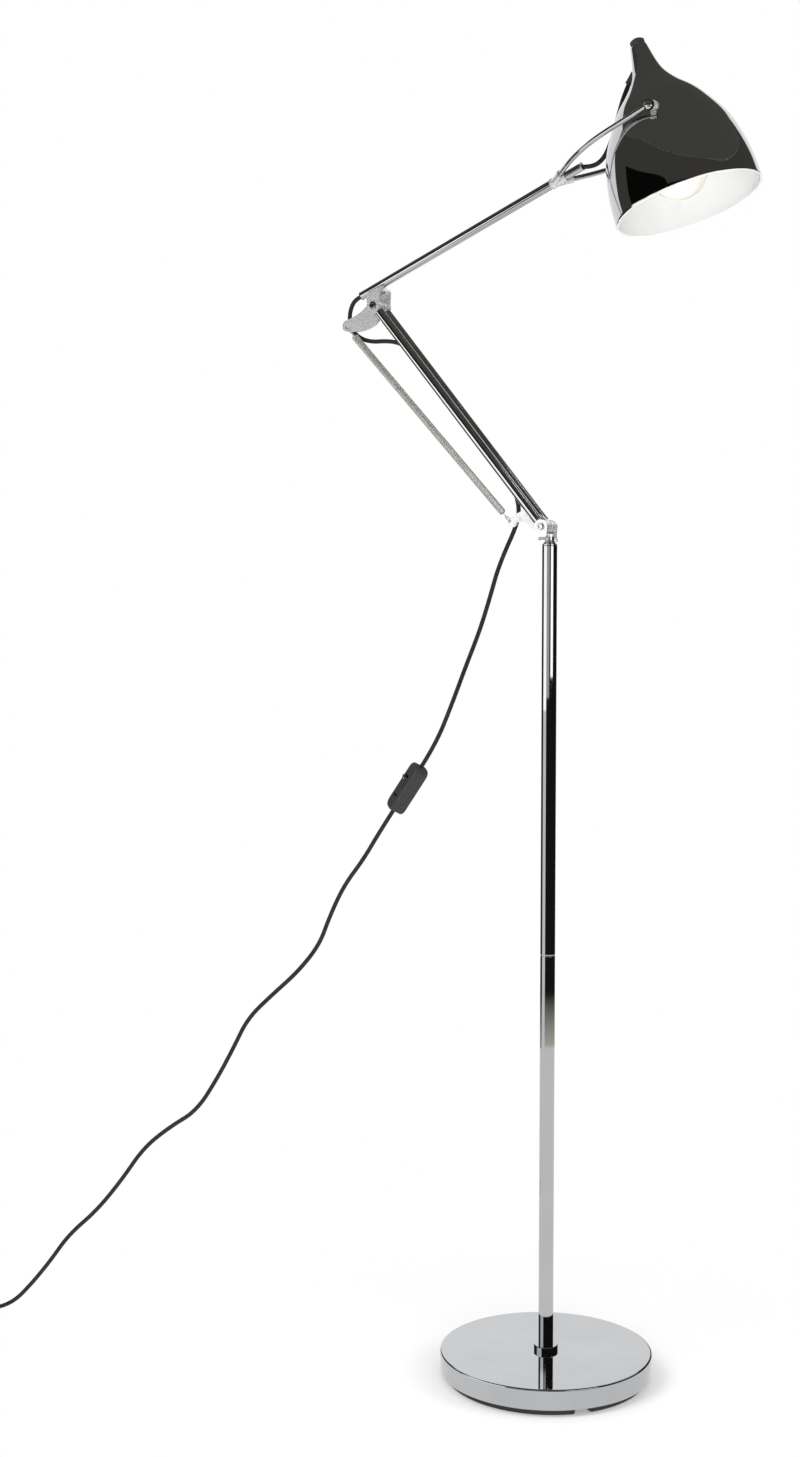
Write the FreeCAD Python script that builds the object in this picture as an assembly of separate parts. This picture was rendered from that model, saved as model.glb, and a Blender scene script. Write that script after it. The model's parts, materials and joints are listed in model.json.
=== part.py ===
"""Spring-balanced floor lamp: round base, two-piece pole, two-part arm, bell shade and mains lead.

Millimetres. The origin is on the floor under the pole, +Z is up, and the arm lies in the XZ plane with
the shade on the +X side. "Near" is the -Y side and "far" the +Y side.
"""
import FreeCAD
import Part

import math
import os

Vector = FreeCAD.Vector
UP = Vector(0, 0, 1)
ACROSS = Vector(0, 1, 0)
SIDES = (("near", -1), ("far", 1))

# ---- clearances ----
FIT = 0.05               # radial clearance of a turning pin, and of a plug glued or screwed in a tube
TURN_GAP = 0.3           # between flat faces that turn past each other
CORD_PASS = 0.6          # radial room round the cable where it passes through a piece

# ---- base ----
BASE_RADIUS = 115.0
BASE_TOP = 30.0
COVER_WALL = 1.5
COVER_EDGE = 2.0         # rounding of the cover's top edge
FEET_HEIGHT = 8.0
FEET_INSET = 7.0         # from the cover's rim to the feet
FEET_WIDTH = 16.0
FEET_COUNT = 3
FEET_GAP = 16.0          # between the ends of two feet
FEET_CORNER = 3.0
FEET_FIRST_GAP = -43.0   # direction of the first gap, degrees from +X
UNDERSIDE_THICKNESS = 2.5
COLLAR_RADIUS = 13.0
COLLAR_HEIGHT = 5.5
COLLAR_BEVEL = 0.8
BOLT_RADIUS = 5.0
BOLT_HEAD_FLAT = 8.5     # half of the distance over its flats
BOLT_HEAD_HEIGHT = 6.0
BOLT_GRIP = 24.0         # length of the bolt inside the pole's plug
WASHER_RADIUS = 12.0
WASHER_THICKNESS = 2.0
COUNTERBORE_RADIUS = 14.0

# ---- pole ----
POLE_RADIUS = 8.0
POLE_WALL = 1.2
POLE_SEAM = 463.0
SEAM_WIDTH = 0.8
SEAM_DEPTH = 0.35
COUPLER_REACH = 30.0     # of the spigot into each tube
PLUG_LENGTH = 32.0
POLE_TOP = 902.0
NECK_SHOULDER = 1.0
NECK_CONE = 4.5
NECK_RADIUS = 4.8
NECK_HEIGHT = 8.4
NECK_TOP = POLE_TOP + NECK_HEIGHT
NECK_SPIGOT = 22.0
BUSH_RADIUS = 3.5
BUSH_FLANGE = 0.5
BUSH_GAP = 0.1

# ---- head bracket on the pole ----
SWIVEL_RADIUS = 2.5
HEAD_WEB_BOTTOM = NECK_TOP + BUSH_FLANGE + BUSH_GAP
HEAD_WEB_THICKNESS = 2.8
HEAD_BOSS_RADIUS = 5.5
FOOT_PIVOT_BACK = 4.5            # of the pivot behind the pole's axis
FOOT_PIVOT_RISE = 10.5           # above the web's underside
FOOT_PIVOT = Vector(-FOOT_PIVOT_BACK, 0, HEAD_WEB_BOTTOM + FOOT_PIVOT_RISE)
HEAD_EAR_RADIUS = 7.5
HEAD_EAR_FOOT = (-6.2, 2.1)      # front and back of the ears' narrow feet, along X
HEAD_LIP_DROP = 5.2              # of the flared lips below the web's underside
HEAD_LIP_OUT = 3.0               # of the lips beyond the ears
SCREW_RADIUS = 1.5
SCREW_HEAD_RADIUS = 4.0
SCREW_HEAD_HEIGHT = 2.6
SCREW_GRIP = 10.0
SMALL_WASHER_RADIUS = 5.5
SMALL_WASHER = 1.0

# ---- the two hinges of the arm ----
HINGE_PIN = 3.0
EAR_INNER = 10.4
EAR_THICKNESS = 2.6
HINGE_WASHER_RADIUS = 4.3
HINGE_WASHER = 0.8
HINGE_HEAD_RADIUS = 3.5
HINGE_HEAD_HEIGHT = 1.6
HINGE_RECESS_RADIUS = 1.7
HINGE_RECESS = 1.0
HINGE_NUT_FLAT = 4.0
HINGE_NUT_HEIGHT = 3.0
KNUCKLE_INNER = 2.2
KNUCKLE_OUTER = 9.5
FRICTION_WASHER = 0.7
FRICTION_WASHER_RADIUS = 5.8

# ---- lower arm ----
LOWER_ANGLE = 130.0
LOWER_LENGTH = 320.0
ARM_TUBE_RADIUS = 5.0
ARM_TUBE_WALL = 1.0
ARM_TUBE_OFFSET = 8.0
ARM_TUBE_START = 8.7             # from a hinge's axis to the tube's end
SPIGOT_REACH = 17.0
FOOT_KNUCKLE_RADIUS = 7.0
ELBOW_KNUCKLE_RADIUS = 6.5
KNUCKLE_SEAT = 8.3               # where the spigot grows to its full width
LEVER_HALF = 1.6
# the crescent's edges, from the foot pivot: (forward, up)
HORN_TIP = Vector(-42.2, 0, 6.4)
HORN_TIP_RADIUS = 2.4
HORN_UPPER = ((-40.8, 10.2), (-34.9, 14.3), (-27.1, 17.3), (-17.0, 17.0))
HORN_LOWER = ((-17.0, -0.6), (-20.5, 3.1), (-27.3, 5.7), (-34.2, 5.1))
# the elbow lever's edges, from the elbow pivot: (forward, up)
LEVER_TIP = Vector(-40.6, 0, -20.6)
LEVER_NOSE = ((-43.0, -12.6), (-46.2, -17.5), (-42.0, -24.4))
LEVER_UPPER = ((-30.0, -8.2), (-18.0, -1.0))
LEVER_LOWER = ((-1.6, -17.4), (-9.5, -22.5), (-21.1, -25.5), (-32.5, -25.3))

# ---- spring ----
SPRING_RADIUS = 4.0
SPRING_WIRE = 0.6
HOOK_RING = 4.0
HOOK_HOLE = 1.9
SPRING_LOWER_LEAD = 14.0         # from a hook's bearing point to the first coil
SPRING_UPPER_LEAD = 13.9
PLUG_RADIUS = 2.6
SPRING_PLUG_LENGTH = 22.0
SPRING_PLUG_INSET = 6.0

# ---- upper arm ----
UPPER_ANGLE = 23.07
ARM_RISE = 20.8                  # of the upper tube's axis above the elbow pivot
UPPER_TUBE_RADIUS = 4.8
UPPER_TUBE_WALL = 1.0
UPPER_REAR = 14.6                # of the tube behind the elbow pivot
UPPER_REACH = 237.2              # from the elbow pivot to the fork's socket
ELBOW_EAR_RADIUS = 8.0
SADDLE = (-4.0, 14.0)            # back and front of the saddle along the arm
SADDLE_DEPTH = 8.6
SADDLE_FLOOR = 3.0
CRADLE_HALF = 6.2
CRADLE_TOP = 1.5                 # of the cradle below the tube's axis
SADDLE_SCREWS = (5.0, 10.8)
SADDLE_SCREW_RADIUS = 1.3
SADDLE_HEAD_RADIUS = 2.3
SADDLE_HEAD_HEIGHT = 1.5
LEVER_NECK = (-4.0, 2.0)
GROMMET_LENGTH = 6.0
GROMMET_LIP = 0.8

# ---- fork ----
FORK_DROOP = 2.2                 # of the fork's plane below the arm's line, degrees
SOCKET_RADIUS = 5.6
SOCKET_LENGTH = 18.0
SOCKET_SPIGOT = 20.0
SOCKET_BOSS_RADIUS = 4.0
ROD_RADIUS = 2.6
ROD_ROOT = (9.5, 7.1)            # forward and sideways from the socket's shoulder
ROD_BOSS_LENGTH = 12.0
ROD_BEND_START = (31.7, 26.8)
ROD_BEND_END = (101.2, 59.2)
ROD_END = (147.1, 66.0)
EYE_RADIUS = 5.5
EYE_HALF = 1.5
FERRULE_RADIUS = 4.25
FERRULE_END = 39.0
FERRULE_FLARE = 5.2
FERRULE_FLARE_LENGTH = 2.0
FERRULE_STEM = 3.5

# ---- shade ----
SHADE_ANGLE = 19.2               # of the shade's axis from the vertical
SHADE_LENGTH = 181.0
SHADE_WALL = 1.2
SHADE_LIP = 2.4
SHADE_LIP_DEPTH = 2.0
CAP_HEIGHT = 8.0
CAP_RADIUS = 7.5
CAP_DOME = 3.0
# the bell's outer line: (down the axis, radius)
BELL = ((9.2, 8.7), (18, 10.5), (29, 13.0), (41.6, 17.5), (56, 28.0), (72.4, 43.2), (90.5, 55.2),
        (112, 66.5), (135.7, 72.8), (159, 76.1), (SHADE_LENGTH, 76.6))
BELL_SHOULDER = 7.9
PIVOT_DOWN = 94.0                # of the shade's pivot from the top of its cap
PIVOT_FORWARD = 12.4             # of the pivot before the shade's axis
SHADE_SCREW = 2.0
SHADE_SCREW_HEAD = 4.5
SHADE_SCREW_DOME = 2.2
SHADE_WASHER = 0.6
STANDOFF_RADIUS = 4.0
STANDOFF_FLANGE = 6.5
STANDOFF_FLANGE_THICKNESS = 2.0
INNER_NUT_RADIUS = 4.0
INNER_NUT = 3.0
NIPPLE_RADIUS = 5.0
NIPPLE_BORE = 3.6
NIPPLE_NUT_FLAT = 6.5
NIPPLE_NUT_HEIGHT = 3.0
HOLDER_START = 47.0
HOLDER_END = 92.0
HOLDER_RADIUS = 17.0
HOLDER_WALL = 2.0
HOLDER_FLOOR = 3.0
BULB_CAP_RADIUS = 13.2
BULB_CAP_START = 67.0
BULB_CAP_WALL = 0.8
BULB_RADIUS = 30.0
BULB_END = 175.0
BULB_NECK = 14.0
BULB_NECK_END = 98.0
BULB_WALL = 1.5
GLAND_DOWN = 32.0
GLAND_BEHIND = 12.4
GLAND_LEAN = 33.0                # of the gland's axis from the vertical, degrees
GLAND_LENGTH = 13.0
GLAND_RADIUS = 3.6
GLAND_PASS = 0.15                # radial room round the cable in the gland

# ---- cable and what is on it ----
CORD_RADIUS = 2.4
CORD_SINK = 1.0                  # of a cable end into the housing that grips it
# the free lead hangs in one upright plane: the plane's point at the exit, and its slope dy/dx
LEAD_PLANE_X = -44.6
LEAD_PLANE_Y = 4.5
LEAD_PLANE_SLOPE = 0.2496
SWITCH_CENTRE_X = -159.8
SWITCH_CENTRE_Z = 637.5
SWITCH_AXIS = Vector(-0.5295, -0.132, -0.838)
SWITCH_FACE = Vector(-0.552, -0.696, 0.459)
SWITCH_LENGTH = 58.0
SWITCH_WIDTH = 23.0
SWITCH_HEIGHT = 17.0
SWITCH_CORNER = 8.0
SWITCH_EDGE = 2.6
SWITCH_WALL = 2.0
SWITCH_SEAM = -1.5
ROCKER_HALF_LENGTH = 11.0
ROCKER_HALF_WIDTH = 5.5
ROCKER_RAISE = 3.0
ROCKER_GAP = 0.4
ROCKER_SWEEP = 2.6               # extra room at each end of the rocker's window
ROCKER_AXLE = 4.0
ROCKER_PIN = 1.2
ROCKER_PIN_LENGTH = 1.6
COIL_RADIUS = 25.0
COIL_TURNS_WIDE = 3
COIL_LAYERS = 2
COIL_ENTRY_X = -680.0
TIE_THICKNESS = 0.8
TIE_WIDTH = 6.0
TIE_DIRECTION = 250.0
RELIEF_LENGTH = 24.0
RELIEF_THICK = 5.0
PLUG_BODY_LENGTH = 36.0
PLUG_BODY_WIDTH = 35.0
PLUG_BODY_HEIGHT = 14.0
PLUG_NOSE_WIDTH = 14.0
PLUG_TAPER = 16.0
PLUG_EDGE = 2.0
PIN_RADIUS = 2.0
PIN_LENGTH = 19.0
PIN_SPACING = 18.6
PIN_TIP = 0.6

# ---- places that follow from the sizes ----
POLE_BORE = POLE_RADIUS - POLE_WALL
EAR_OUTER = EAR_INNER + EAR_THICKNESS
COVER_BORE = BASE_RADIUS - COVER_WALL
COVER_CEILING = BASE_TOP - COVER_WALL
UNDERSIDE_TOP = FEET_HEIGHT + UNDERSIDE_THICKNESS
SWIVEL_END = POLE_TOP - NECK_SPIGOT - TURN_GAP
TUBE_BORE = ARM_TUBE_RADIUS - ARM_TUBE_WALL
UPPER_BORE = UPPER_TUBE_RADIUS - UPPER_TUBE_WALL
CORD_HOLE = CORD_RADIUS + CORD_PASS
FORK_ANGLE = UPPER_ANGLE - FORK_DROOP


def heading(angle):
    """Unit vector in the arm's plane, in degrees up from +X."""
    return Vector(math.cos(math.radians(angle)), 0, math.sin(math.radians(angle)))


class Frame:
    """A place in the arm's plane: local X runs along the angle, local Z across it, Y stays."""

    def __init__(self, origin, angle):
        self.origin = origin
        self.along = heading(angle)
        self.over = heading(angle + 90)
        self.placement = FreeCAD.Placement(origin, FreeCAD.Rotation(ACROSS, -angle))

    def point(self, x, y, z):
        return self.origin + self.along * x + ACROSS * y + self.over * z

    def place(self, shape):
        placed = shape.copy()
        placed.Placement = self.placement.multiply(placed.Placement)
        return placed


LOWER = Frame(FOOT_PIVOT, LOWER_ANGLE)
ELBOW_PIVOT = LOWER.point(LOWER_LENGTH, 0, 0)
ELBOW_END = Frame(ELBOW_PIVOT, LOWER_ANGLE + 180)
ELBOW = Frame(ELBOW_PIVOT, UPPER_ANGLE)
UPPER = Frame(ELBOW.point(0, 0, ARM_RISE), UPPER_ANGLE)
SOCKET = Frame(UPPER.point(UPPER_REACH, 0, 0), UPPER_ANGLE)
FORK = Frame(SOCKET.origin, FORK_ANGLE)
SHADE_PIVOT = FORK.point(ROD_END[0], 0, 0)
SHADE_DOWN = heading(SHADE_ANGLE - 90)
SHADE_FRONT = heading(SHADE_ANGLE)
SHADE_TOP = SHADE_PIVOT - SHADE_DOWN * PIVOT_DOWN - SHADE_FRONT * PIVOT_FORWARD
SHADE = Frame(SHADE_TOP, SHADE_ANGLE)
HOOK_LOW = FOOT_PIVOT + HORN_TIP
HOOK_HIGH = ELBOW_PIVOT + LEVER_TIP


# ---- shapes that several pieces use ----
def cylinder(radius, start, end):
    return Part.makeCylinder(radius, (end - start).Length, start, end - start)


def ring(outer, inner, start, end):
    """Tube between two points; its bore is cut past both ends."""
    beyond = (end - start).normalize() * 0.5
    return cylinder(outer, start, end).cut(cylinder(inner, start - beyond, end + beyond))


def upright(radius, low, high):
    return cylinder(radius, UP * low, UP * high)


def crosswise(radius, centre, y_low, y_high):
    return cylinder(radius, centre + ACROSS * y_low, centre + ACROSS * y_high)


def prism(points, sweep):
    """Solid swept from a closed outline of straight edges."""
    return Part.Face(Part.makePolygon(list(points) + [points[0]])).extrude(sweep)


def turned(profile, low=0.0):
    """Solid of revolution about Z from (radius, height) pairs; the line closes along the axis."""
    points = [Vector(radius, 0, height) for radius, height in profile]
    return Part.Face(Part.makePolygon(points + [points[0]])).revolve(Vector(0, 0, low), UP, 360)


def hexagon(flat, start, end):
    """Hexagonal prism whose half width over the flats is flat."""
    direction = (end - start).normalize()
    aside = direction.cross(ACROSS if abs(direction.y) < 0.9 else UP).normalize()
    corner = flat / math.cos(math.pi / 6)
    turns = [FreeCAD.Rotation(direction, 60 * step) for step in range(6)]
    return prism([start + turn.multVec(aside * corner) for turn in turns], end - start)


def edges_at(shape, test):
    return [edge for edge in shape.Edges if test(edge.BoundBox)]


def dome(radius, height, crown, down):
    """Round-topped disc: its crown at a point, its flat face lower by the height."""
    ball_radius = (radius ** 2 + height ** 2) / (2 * height)
    ball = Part.makeSphere(ball_radius, crown + down * ball_radius)
    return ball.common(cylinder(radius, crown - down, crown + down * height))


def fuse(first, *others):
    return first.multiFuse(list(others)).removeSplitter()


def smooth(points):
    curve = Part.BSplineCurve()
    curve.interpolate(points)
    return curve.toShape()


def cord_path(points, name=None):
    """Straight runs joined by tangent arcs, each as large as its two runs allow."""
    points = [Vector(point) for point in points]
    edges = []
    radii = []
    start = points[0]
    for before, corner, after in zip(points, points[1:], points[2:]):
        back = before - corner
        ahead = after - corner
        trim = 0.45 * min(back.Length, ahead.Length)
        half_turn = (math.pi - back.getAngle(ahead)) / 2
        radii.append(trim / math.tan(half_turn))
        back.normalize()
        ahead.normalize()
        enter = corner + back * trim
        leave = corner + ahead * trim
        centre = corner + (back + ahead).normalize() * (radii[-1] / math.cos(half_turn))
        middle = centre + (corner - centre).normalize() * radii[-1]
        edges.append(Part.LineSegment(start, enter).toShape())
        edges.append(Part.Arc(enter, middle, leave).toShape())
        start = leave
    edges.append(Part.LineSegment(start, points[-1]).toShape())
    if name:
        print("%s: length %.0f, tightest radius %.1f" % (name, sum(e.Length for e in edges), min(radii)))
    return Part.Wire(edges)


def swept(path, radius):
    """Round bar along a wire."""
    start = path.Edges[0].firstVertex().Point
    direction = path.Edges[0].tangentAt(path.Edges[0].FirstParameter)
    section = Part.Wire(Part.Circle(start, direction, radius).toShape())
    return path.makePipeShell([section], True, False)


def cord(points, name):
    path = cord_path(points, name)
    tube = swept(path, CORD_RADIUS)
    expected = path.Length * math.pi * CORD_RADIUS ** 2
    print("%s: volume against section times length %.4f" % (name, tube.Volume / expected))
    return tube


def save(node, *solids):
    shape = solids[0] if len(solids) == 1 else Part.makeCompound(list(solids))
    shape.exportStep("parts/%s.step" % node)


# ---- base ----
def base_cover():
    cover = upright(BASE_RADIUS, FEET_HEIGHT, BASE_TOP)
    rim = edges_at(cover, lambda box: abs(box.ZMin - BASE_TOP) < FIT and abs(box.ZMax - BASE_TOP) < FIT)
    cover = cover.makeFillet(COVER_EDGE, rim)
    hollow = upright(COVER_BORE, FEET_HEIGHT - 1, COVER_CEILING)
    return cover.cut(hollow).cut(upright(BOLT_RADIUS + FIT, COVER_CEILING - 1, BASE_TOP + 1))


def base_weight():
    seat = COVER_CEILING - (COVER_CEILING - UNDERSIDE_TOP) / 2
    weight = upright(COVER_BORE - FIT, UNDERSIDE_TOP, COVER_CEILING)
    weight = weight.cut(upright(COUNTERBORE_RADIUS, UNDERSIDE_TOP - 1, seat))
    return weight.cut(upright(BOLT_RADIUS + FIT, seat - 1, COVER_CEILING + 1)), seat


def base_underside():
    plate = upright(COVER_BORE - FIT, FEET_HEIGHT, UNDERSIDE_TOP)
    return plate.cut(upright(COUNTERBORE_RADIUS, FEET_HEIGHT - 1, UNDERSIDE_TOP + 1))


def base_feet():
    outer = BASE_RADIUS - FEET_INSET
    gap = math.degrees(FEET_GAP / outer)
    share = 360.0 / FEET_COUNT
    feet = []
    for index in range(FEET_COUNT):
        foot = Part.makeCylinder(outer, FEET_HEIGHT, Vector(), UP, share - gap)
        foot = foot.cut(Part.makeCylinder(outer - FEET_WIDTH, FEET_HEIGHT, Vector(), UP))
        foot = foot.makeFillet(FEET_CORNER, edges_at(foot, lambda box: box.DiagonalLength - box.ZLength < FIT))
        foot.rotate(Vector(), UP, FEET_FIRST_GAP + gap / 2 + share * index)
        feet.append(foot)
    return feet


def base_bolt(seat):
    washer = ring(WASHER_RADIUS, BOLT_RADIUS + FIT, UP * (seat - WASHER_THICKNESS), UP * seat)
    head_top = seat - WASHER_THICKNESS
    head = hexagon(BOLT_HEAD_FLAT, UP * (head_top - BOLT_HEAD_HEIGHT), UP * head_top)
    return fuse(head, upright(BOLT_RADIUS, head_top, BASE_TOP + BOLT_GRIP)), washer


def make_base():
    weight, seat = base_weight()
    save("base_cover", base_cover())
    save("base_weight", weight)
    save("base_underside", base_underside())
    save("base_feet", *base_feet())
    save("base_bolt", *base_bolt(seat))
    collar = ring(COLLAR_RADIUS, POLE_RADIUS + FIT, UP * BASE_TOP, UP * (BASE_TOP + COLLAR_HEIGHT))
    top = BASE_TOP + COLLAR_HEIGHT
    rim = edges_at(collar, lambda box: box.ZMin > top - FIT and box.XLength > 2 * COLLAR_RADIUS - FIT)
    save("base_collar", collar.makeChamfer(COLLAR_BEVEL, rim))


# ---- pole ----
def make_pole():
    spigot = POLE_BORE - FIT
    low_end = POLE_SEAM - SEAM_WIDTH / 2
    high_end = POLE_SEAM + SEAM_WIDTH / 2
    save("pole_foot_plug", ring(spigot, BOLT_RADIUS + FIT, UP * BASE_TOP, UP * (BASE_TOP + PLUG_LENGTH)))
    save("pole_lower", ring(POLE_RADIUS, POLE_BORE, UP * BASE_TOP, UP * low_end))
    save("pole_upper", ring(POLE_RADIUS, POLE_BORE, UP * high_end, UP * POLE_TOP))
    seam = upright(POLE_RADIUS - SEAM_DEPTH, low_end, high_end)
    save("pole_coupler", fuse(seam, upright(spigot, low_end - COUPLER_REACH, high_end + COUPLER_REACH)))
    shoulder = POLE_TOP + NECK_SHOULDER
    bore = BUSH_RADIUS + FIT
    neck_foot = POLE_TOP - NECK_SPIGOT
    neck = turned([(bore, neck_foot), (spigot, neck_foot), (spigot, POLE_TOP), (POLE_RADIUS, POLE_TOP),
                   (POLE_RADIUS, shoulder), (NECK_RADIUS, shoulder + NECK_CONE),
                   (NECK_RADIUS, NECK_TOP), (bore, NECK_TOP)])
    save("pole_neck", neck)
    flange_top = NECK_TOP + BUSH_FLANGE
    hole = SWIVEL_RADIUS + FIT
    save("swivel_bush", turned([(hole, neck_foot), (BUSH_RADIUS, neck_foot), (BUSH_RADIUS, NECK_TOP),
                                (NECK_RADIUS, NECK_TOP), (NECK_RADIUS, flange_top), (hole, flange_top)]))


# ---- head ----
def head_section():
    """Half of the bracket seen from the front: ear, flared lip and arched underside, as (y, z)."""
    top = FOOT_PIVOT.z + HEAD_EAR_RADIUS + 1
    under = HEAD_WEB_BOTTOM
    lip = under - HEAD_LIP_DROP
    return [(EAR_INNER, under + HEAD_WEB_THICKNESS), (EAR_INNER, top), (EAR_OUTER, top), (EAR_OUTER, under),
            (EAR_OUTER + HEAD_LIP_OUT, lip + 1.2), (EAR_OUTER + HEAD_LIP_OUT, lip),
            (EAR_OUTER + HEAD_LIP_OUT - 1.4, lip), (EAR_OUTER - 1.5, under - 2.0),
            (NECK_RADIUS + 3.0, under - 0.4), (NECK_RADIUS + 0.4, under)]


def head_bracket():
    section = head_section()
    outline = section + [(-y, z) for y, z in reversed(section)]
    width = 2 * HEAD_EAR_RADIUS + 10
    left = FOOT_PIVOT.x - width / 2
    bracket = prism([Vector(left, y, z) for y, z in outline], Vector(width, 0, 0))
    back, front = HEAD_EAR_FOOT
    low = HEAD_WEB_BOTTOM - HEAD_LIP_DROP - 1
    waist = HEAD_WEB_BOTTOM + 1
    middle = FOOT_PIVOT.z - 1
    reach = HEAD_EAR_RADIUS - 0.1
    span = EAR_OUTER + HEAD_LIP_OUT + 1
    side = [Vector(FOOT_PIVOT.x - reach, -span, middle), Vector(back, -span, waist), Vector(back, -span, low),
            Vector(front, -span, low), Vector(front, -span, waist), Vector(FOOT_PIVOT.x + reach, -span, middle)]
    silhouette = fuse(prism(side, ACROSS * (2 * span)),
                      crosswise(HEAD_EAR_RADIUS, FOOT_PIVOT, -span, span))
    bracket = bracket.common(silhouette)
    boss = upright(HEAD_BOSS_RADIUS, HEAD_WEB_BOTTOM, HEAD_WEB_BOTTOM + HEAD_WEB_THICKNESS)
    bracket = fuse(bracket, boss, upright(SWIVEL_RADIUS, SWIVEL_END, HEAD_WEB_BOTTOM + 1))
    bracket = bracket.cut(upright(SCREW_RADIUS + FIT, SWIVEL_END - 1, SWIVEL_END + SCREW_GRIP))
    return bracket.cut(crosswise(HINGE_PIN + FIT, FOOT_PIVOT, -span, span))


def swivel_screw():
    head_top = SWIVEL_END - SMALL_WASHER
    head = upright(SCREW_HEAD_RADIUS, head_top - SCREW_HEAD_HEIGHT, head_top)
    screw = fuse(head, upright(SCREW_RADIUS, head_top, SWIVEL_END + SCREW_GRIP - 1))
    return screw, ring(SMALL_WASHER_RADIUS, SCREW_RADIUS + FIT, UP * head_top, UP * SWIVEL_END)


def hinge_bolt(pivot):
    """Pan-head bolt through a hinge, its head on the near side."""
    seat = EAR_OUTER + HINGE_WASHER
    shank = crosswise(HINGE_PIN, pivot, -seat, seat + HINGE_NUT_HEIGHT)
    head = crosswise(HINGE_HEAD_RADIUS, pivot, -seat - HINGE_HEAD_HEIGHT, -seat)
    face = -seat - HINGE_HEAD_HEIGHT
    rim = edges_at(head, lambda box: abs(box.YMin - face) < FIT and box.YLength < FIT)
    head = head.makeFillet(0.5, rim)
    recess = hexagon(HINGE_RECESS_RADIUS, pivot + ACROSS * (face - 1), pivot + ACROSS * (face + HINGE_RECESS))
    return fuse(shank, head).cut(recess)


def hinge_nut_and_washers(pivot):
    seat = EAR_OUTER + HINGE_WASHER
    hole = HINGE_PIN + FIT
    nut = hexagon(HINGE_NUT_FLAT, pivot + ACROSS * seat, pivot + ACROSS * (seat + HINGE_NUT_HEIGHT))
    pieces = [nut.cut(crosswise(hole, pivot, seat - 1, seat + HINGE_NUT_HEIGHT + 1))]
    for _, side in SIDES:
        start = pivot + ACROSS * (side * EAR_OUTER)
        pieces.append(ring(HINGE_WASHER_RADIUS, hole, start, start + ACROSS * (side * HINGE_WASHER)))
    return pieces


def make_head():
    save("head_bracket", head_bracket())
    save("swivel_screw", *swivel_screw())
    save("foot_pivot_bolt", hinge_bolt(FOOT_PIVOT))
    save("foot_pivot_nut", *hinge_nut_and_washers(FOOT_PIVOT))


# ---- lower arm ----
def knuckle(frame, radius, side):
    """Barrel on the hinge pin with the spigot that carries one tube, along the frame's X."""
    offset = side * ARM_TUBE_OFFSET
    low, high = sorted((side * KNUCKLE_INNER, side * KNUCKLE_OUTER))
    barrel = crosswise(radius, Vector(), low, high)
    spigot_radius = TUBE_BORE - FIT
    root = cylinder(spigot_radius, Vector(0, offset, 0), Vector(KNUCKLE_SEAT, offset, 0))
    root = root.common(Part.makeBox(KNUCKLE_SEAT, high - low, 4 * radius, Vector(0, low, -2 * radius)))
    spigot = cylinder(spigot_radius, Vector(KNUCKLE_SEAT, offset, 0),
                      Vector(ARM_TUBE_START + SPIGOT_REACH, offset, 0))
    body = fuse(barrel, root, spigot).cut(crosswise(HINGE_PIN + FIT, Vector(), low - 1, high + 1))
    return frame.place(body)


def friction_washers(pivot):
    for _, side in SIDES:
        start = pivot + ACROSS * (side * KNUCKLE_OUTER)
        end = start + ACROSS * (side * FRICTION_WASHER)
        yield ring(FRICTION_WASHER_RADIUS, HINGE_PIN + FIT, start, end)


def plate(edges, y_half):
    """Flat plate in the arm's plane, centred on it, from its outline's edges."""
    face = Part.Face(Part.Wire(Part.sortEdges(edges)[0]))
    face.translate(ACROSS * -y_half)
    return face.extrude(ACROSS * (2 * y_half))


def horn_lever():
    """Crescent between the two tubes: hub on the hinge pin, hole for the spring at the tip."""
    hub = ELBOW_KNUCKLE_RADIUS
    upper = [Vector(x, 0, z) for x, z in HORN_UPPER]
    lower = [Vector(x, 0, z) for x, z in HORN_LOWER]
    hub_top = heading(60) * hub
    hub_bottom = heading(-150) * hub
    edges = [smooth(upper + [hub_top]),
             Part.Arc(hub_top, heading(0) * hub, hub_bottom).toShape(),
             smooth([hub_bottom] + lower),
             Part.Arc(lower[-1], HORN_TIP + heading(200) * HORN_TIP_RADIUS, upper[0]).toShape()]
    body = fuse(plate(edges, LEVER_HALF), crosswise(hub, Vector(), -KNUCKLE_INNER, KNUCKLE_INNER))
    body = body.cut(crosswise(HINGE_PIN + FIT, Vector(), -EAR_INNER, EAR_INNER))
    body = body.cut(crosswise(HOOK_HOLE, HORN_TIP, -EAR_INNER, EAR_INNER))
    body.translate(FOOT_PIVOT)
    return body


def spring_axis():
    return (HOOK_HIGH - HOOK_LOW).normalize()


def balance_spring():
    """Extension spring as its outer tube, closed at both ends, with a wire hook at each."""
    axis = spring_axis()
    coil_low = HOOK_LOW + axis * SPRING_LOWER_LEAD
    coil_high = HOOK_HIGH - axis * SPRING_UPPER_LEAD
    wall = 2 * SPRING_WIRE
    coil = cylinder(SPRING_RADIUS, coil_low, coil_high)
    coil = coil.cut(cylinder(SPRING_RADIUS - wall, coil_low + axis * wall, coil_high - axis * wall))
    pieces = []
    for hook, inward, end in ((HOOK_LOW, axis, coil_low), (HOOK_HIGH, axis * -1, coil_high)):
        centre = hook + inward * HOOK_RING
        normal = inward.cross(ACROSS)
        pieces.append(Part.makeTorus(HOOK_RING, SPRING_WIRE, centre, normal))
        pieces.append(cylinder(SPRING_WIRE, hook + inward * (2 * HOOK_RING), end + inward * (wall / 2)))
    return fuse(coil, *pieces)


def spring_end_plug():
    axis = spring_axis()
    top = HOOK_HIGH - axis * (SPRING_UPPER_LEAD + SPRING_PLUG_INSET)
    return cylinder(PLUG_RADIUS, top - axis * SPRING_PLUG_LENGTH, top)


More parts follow.
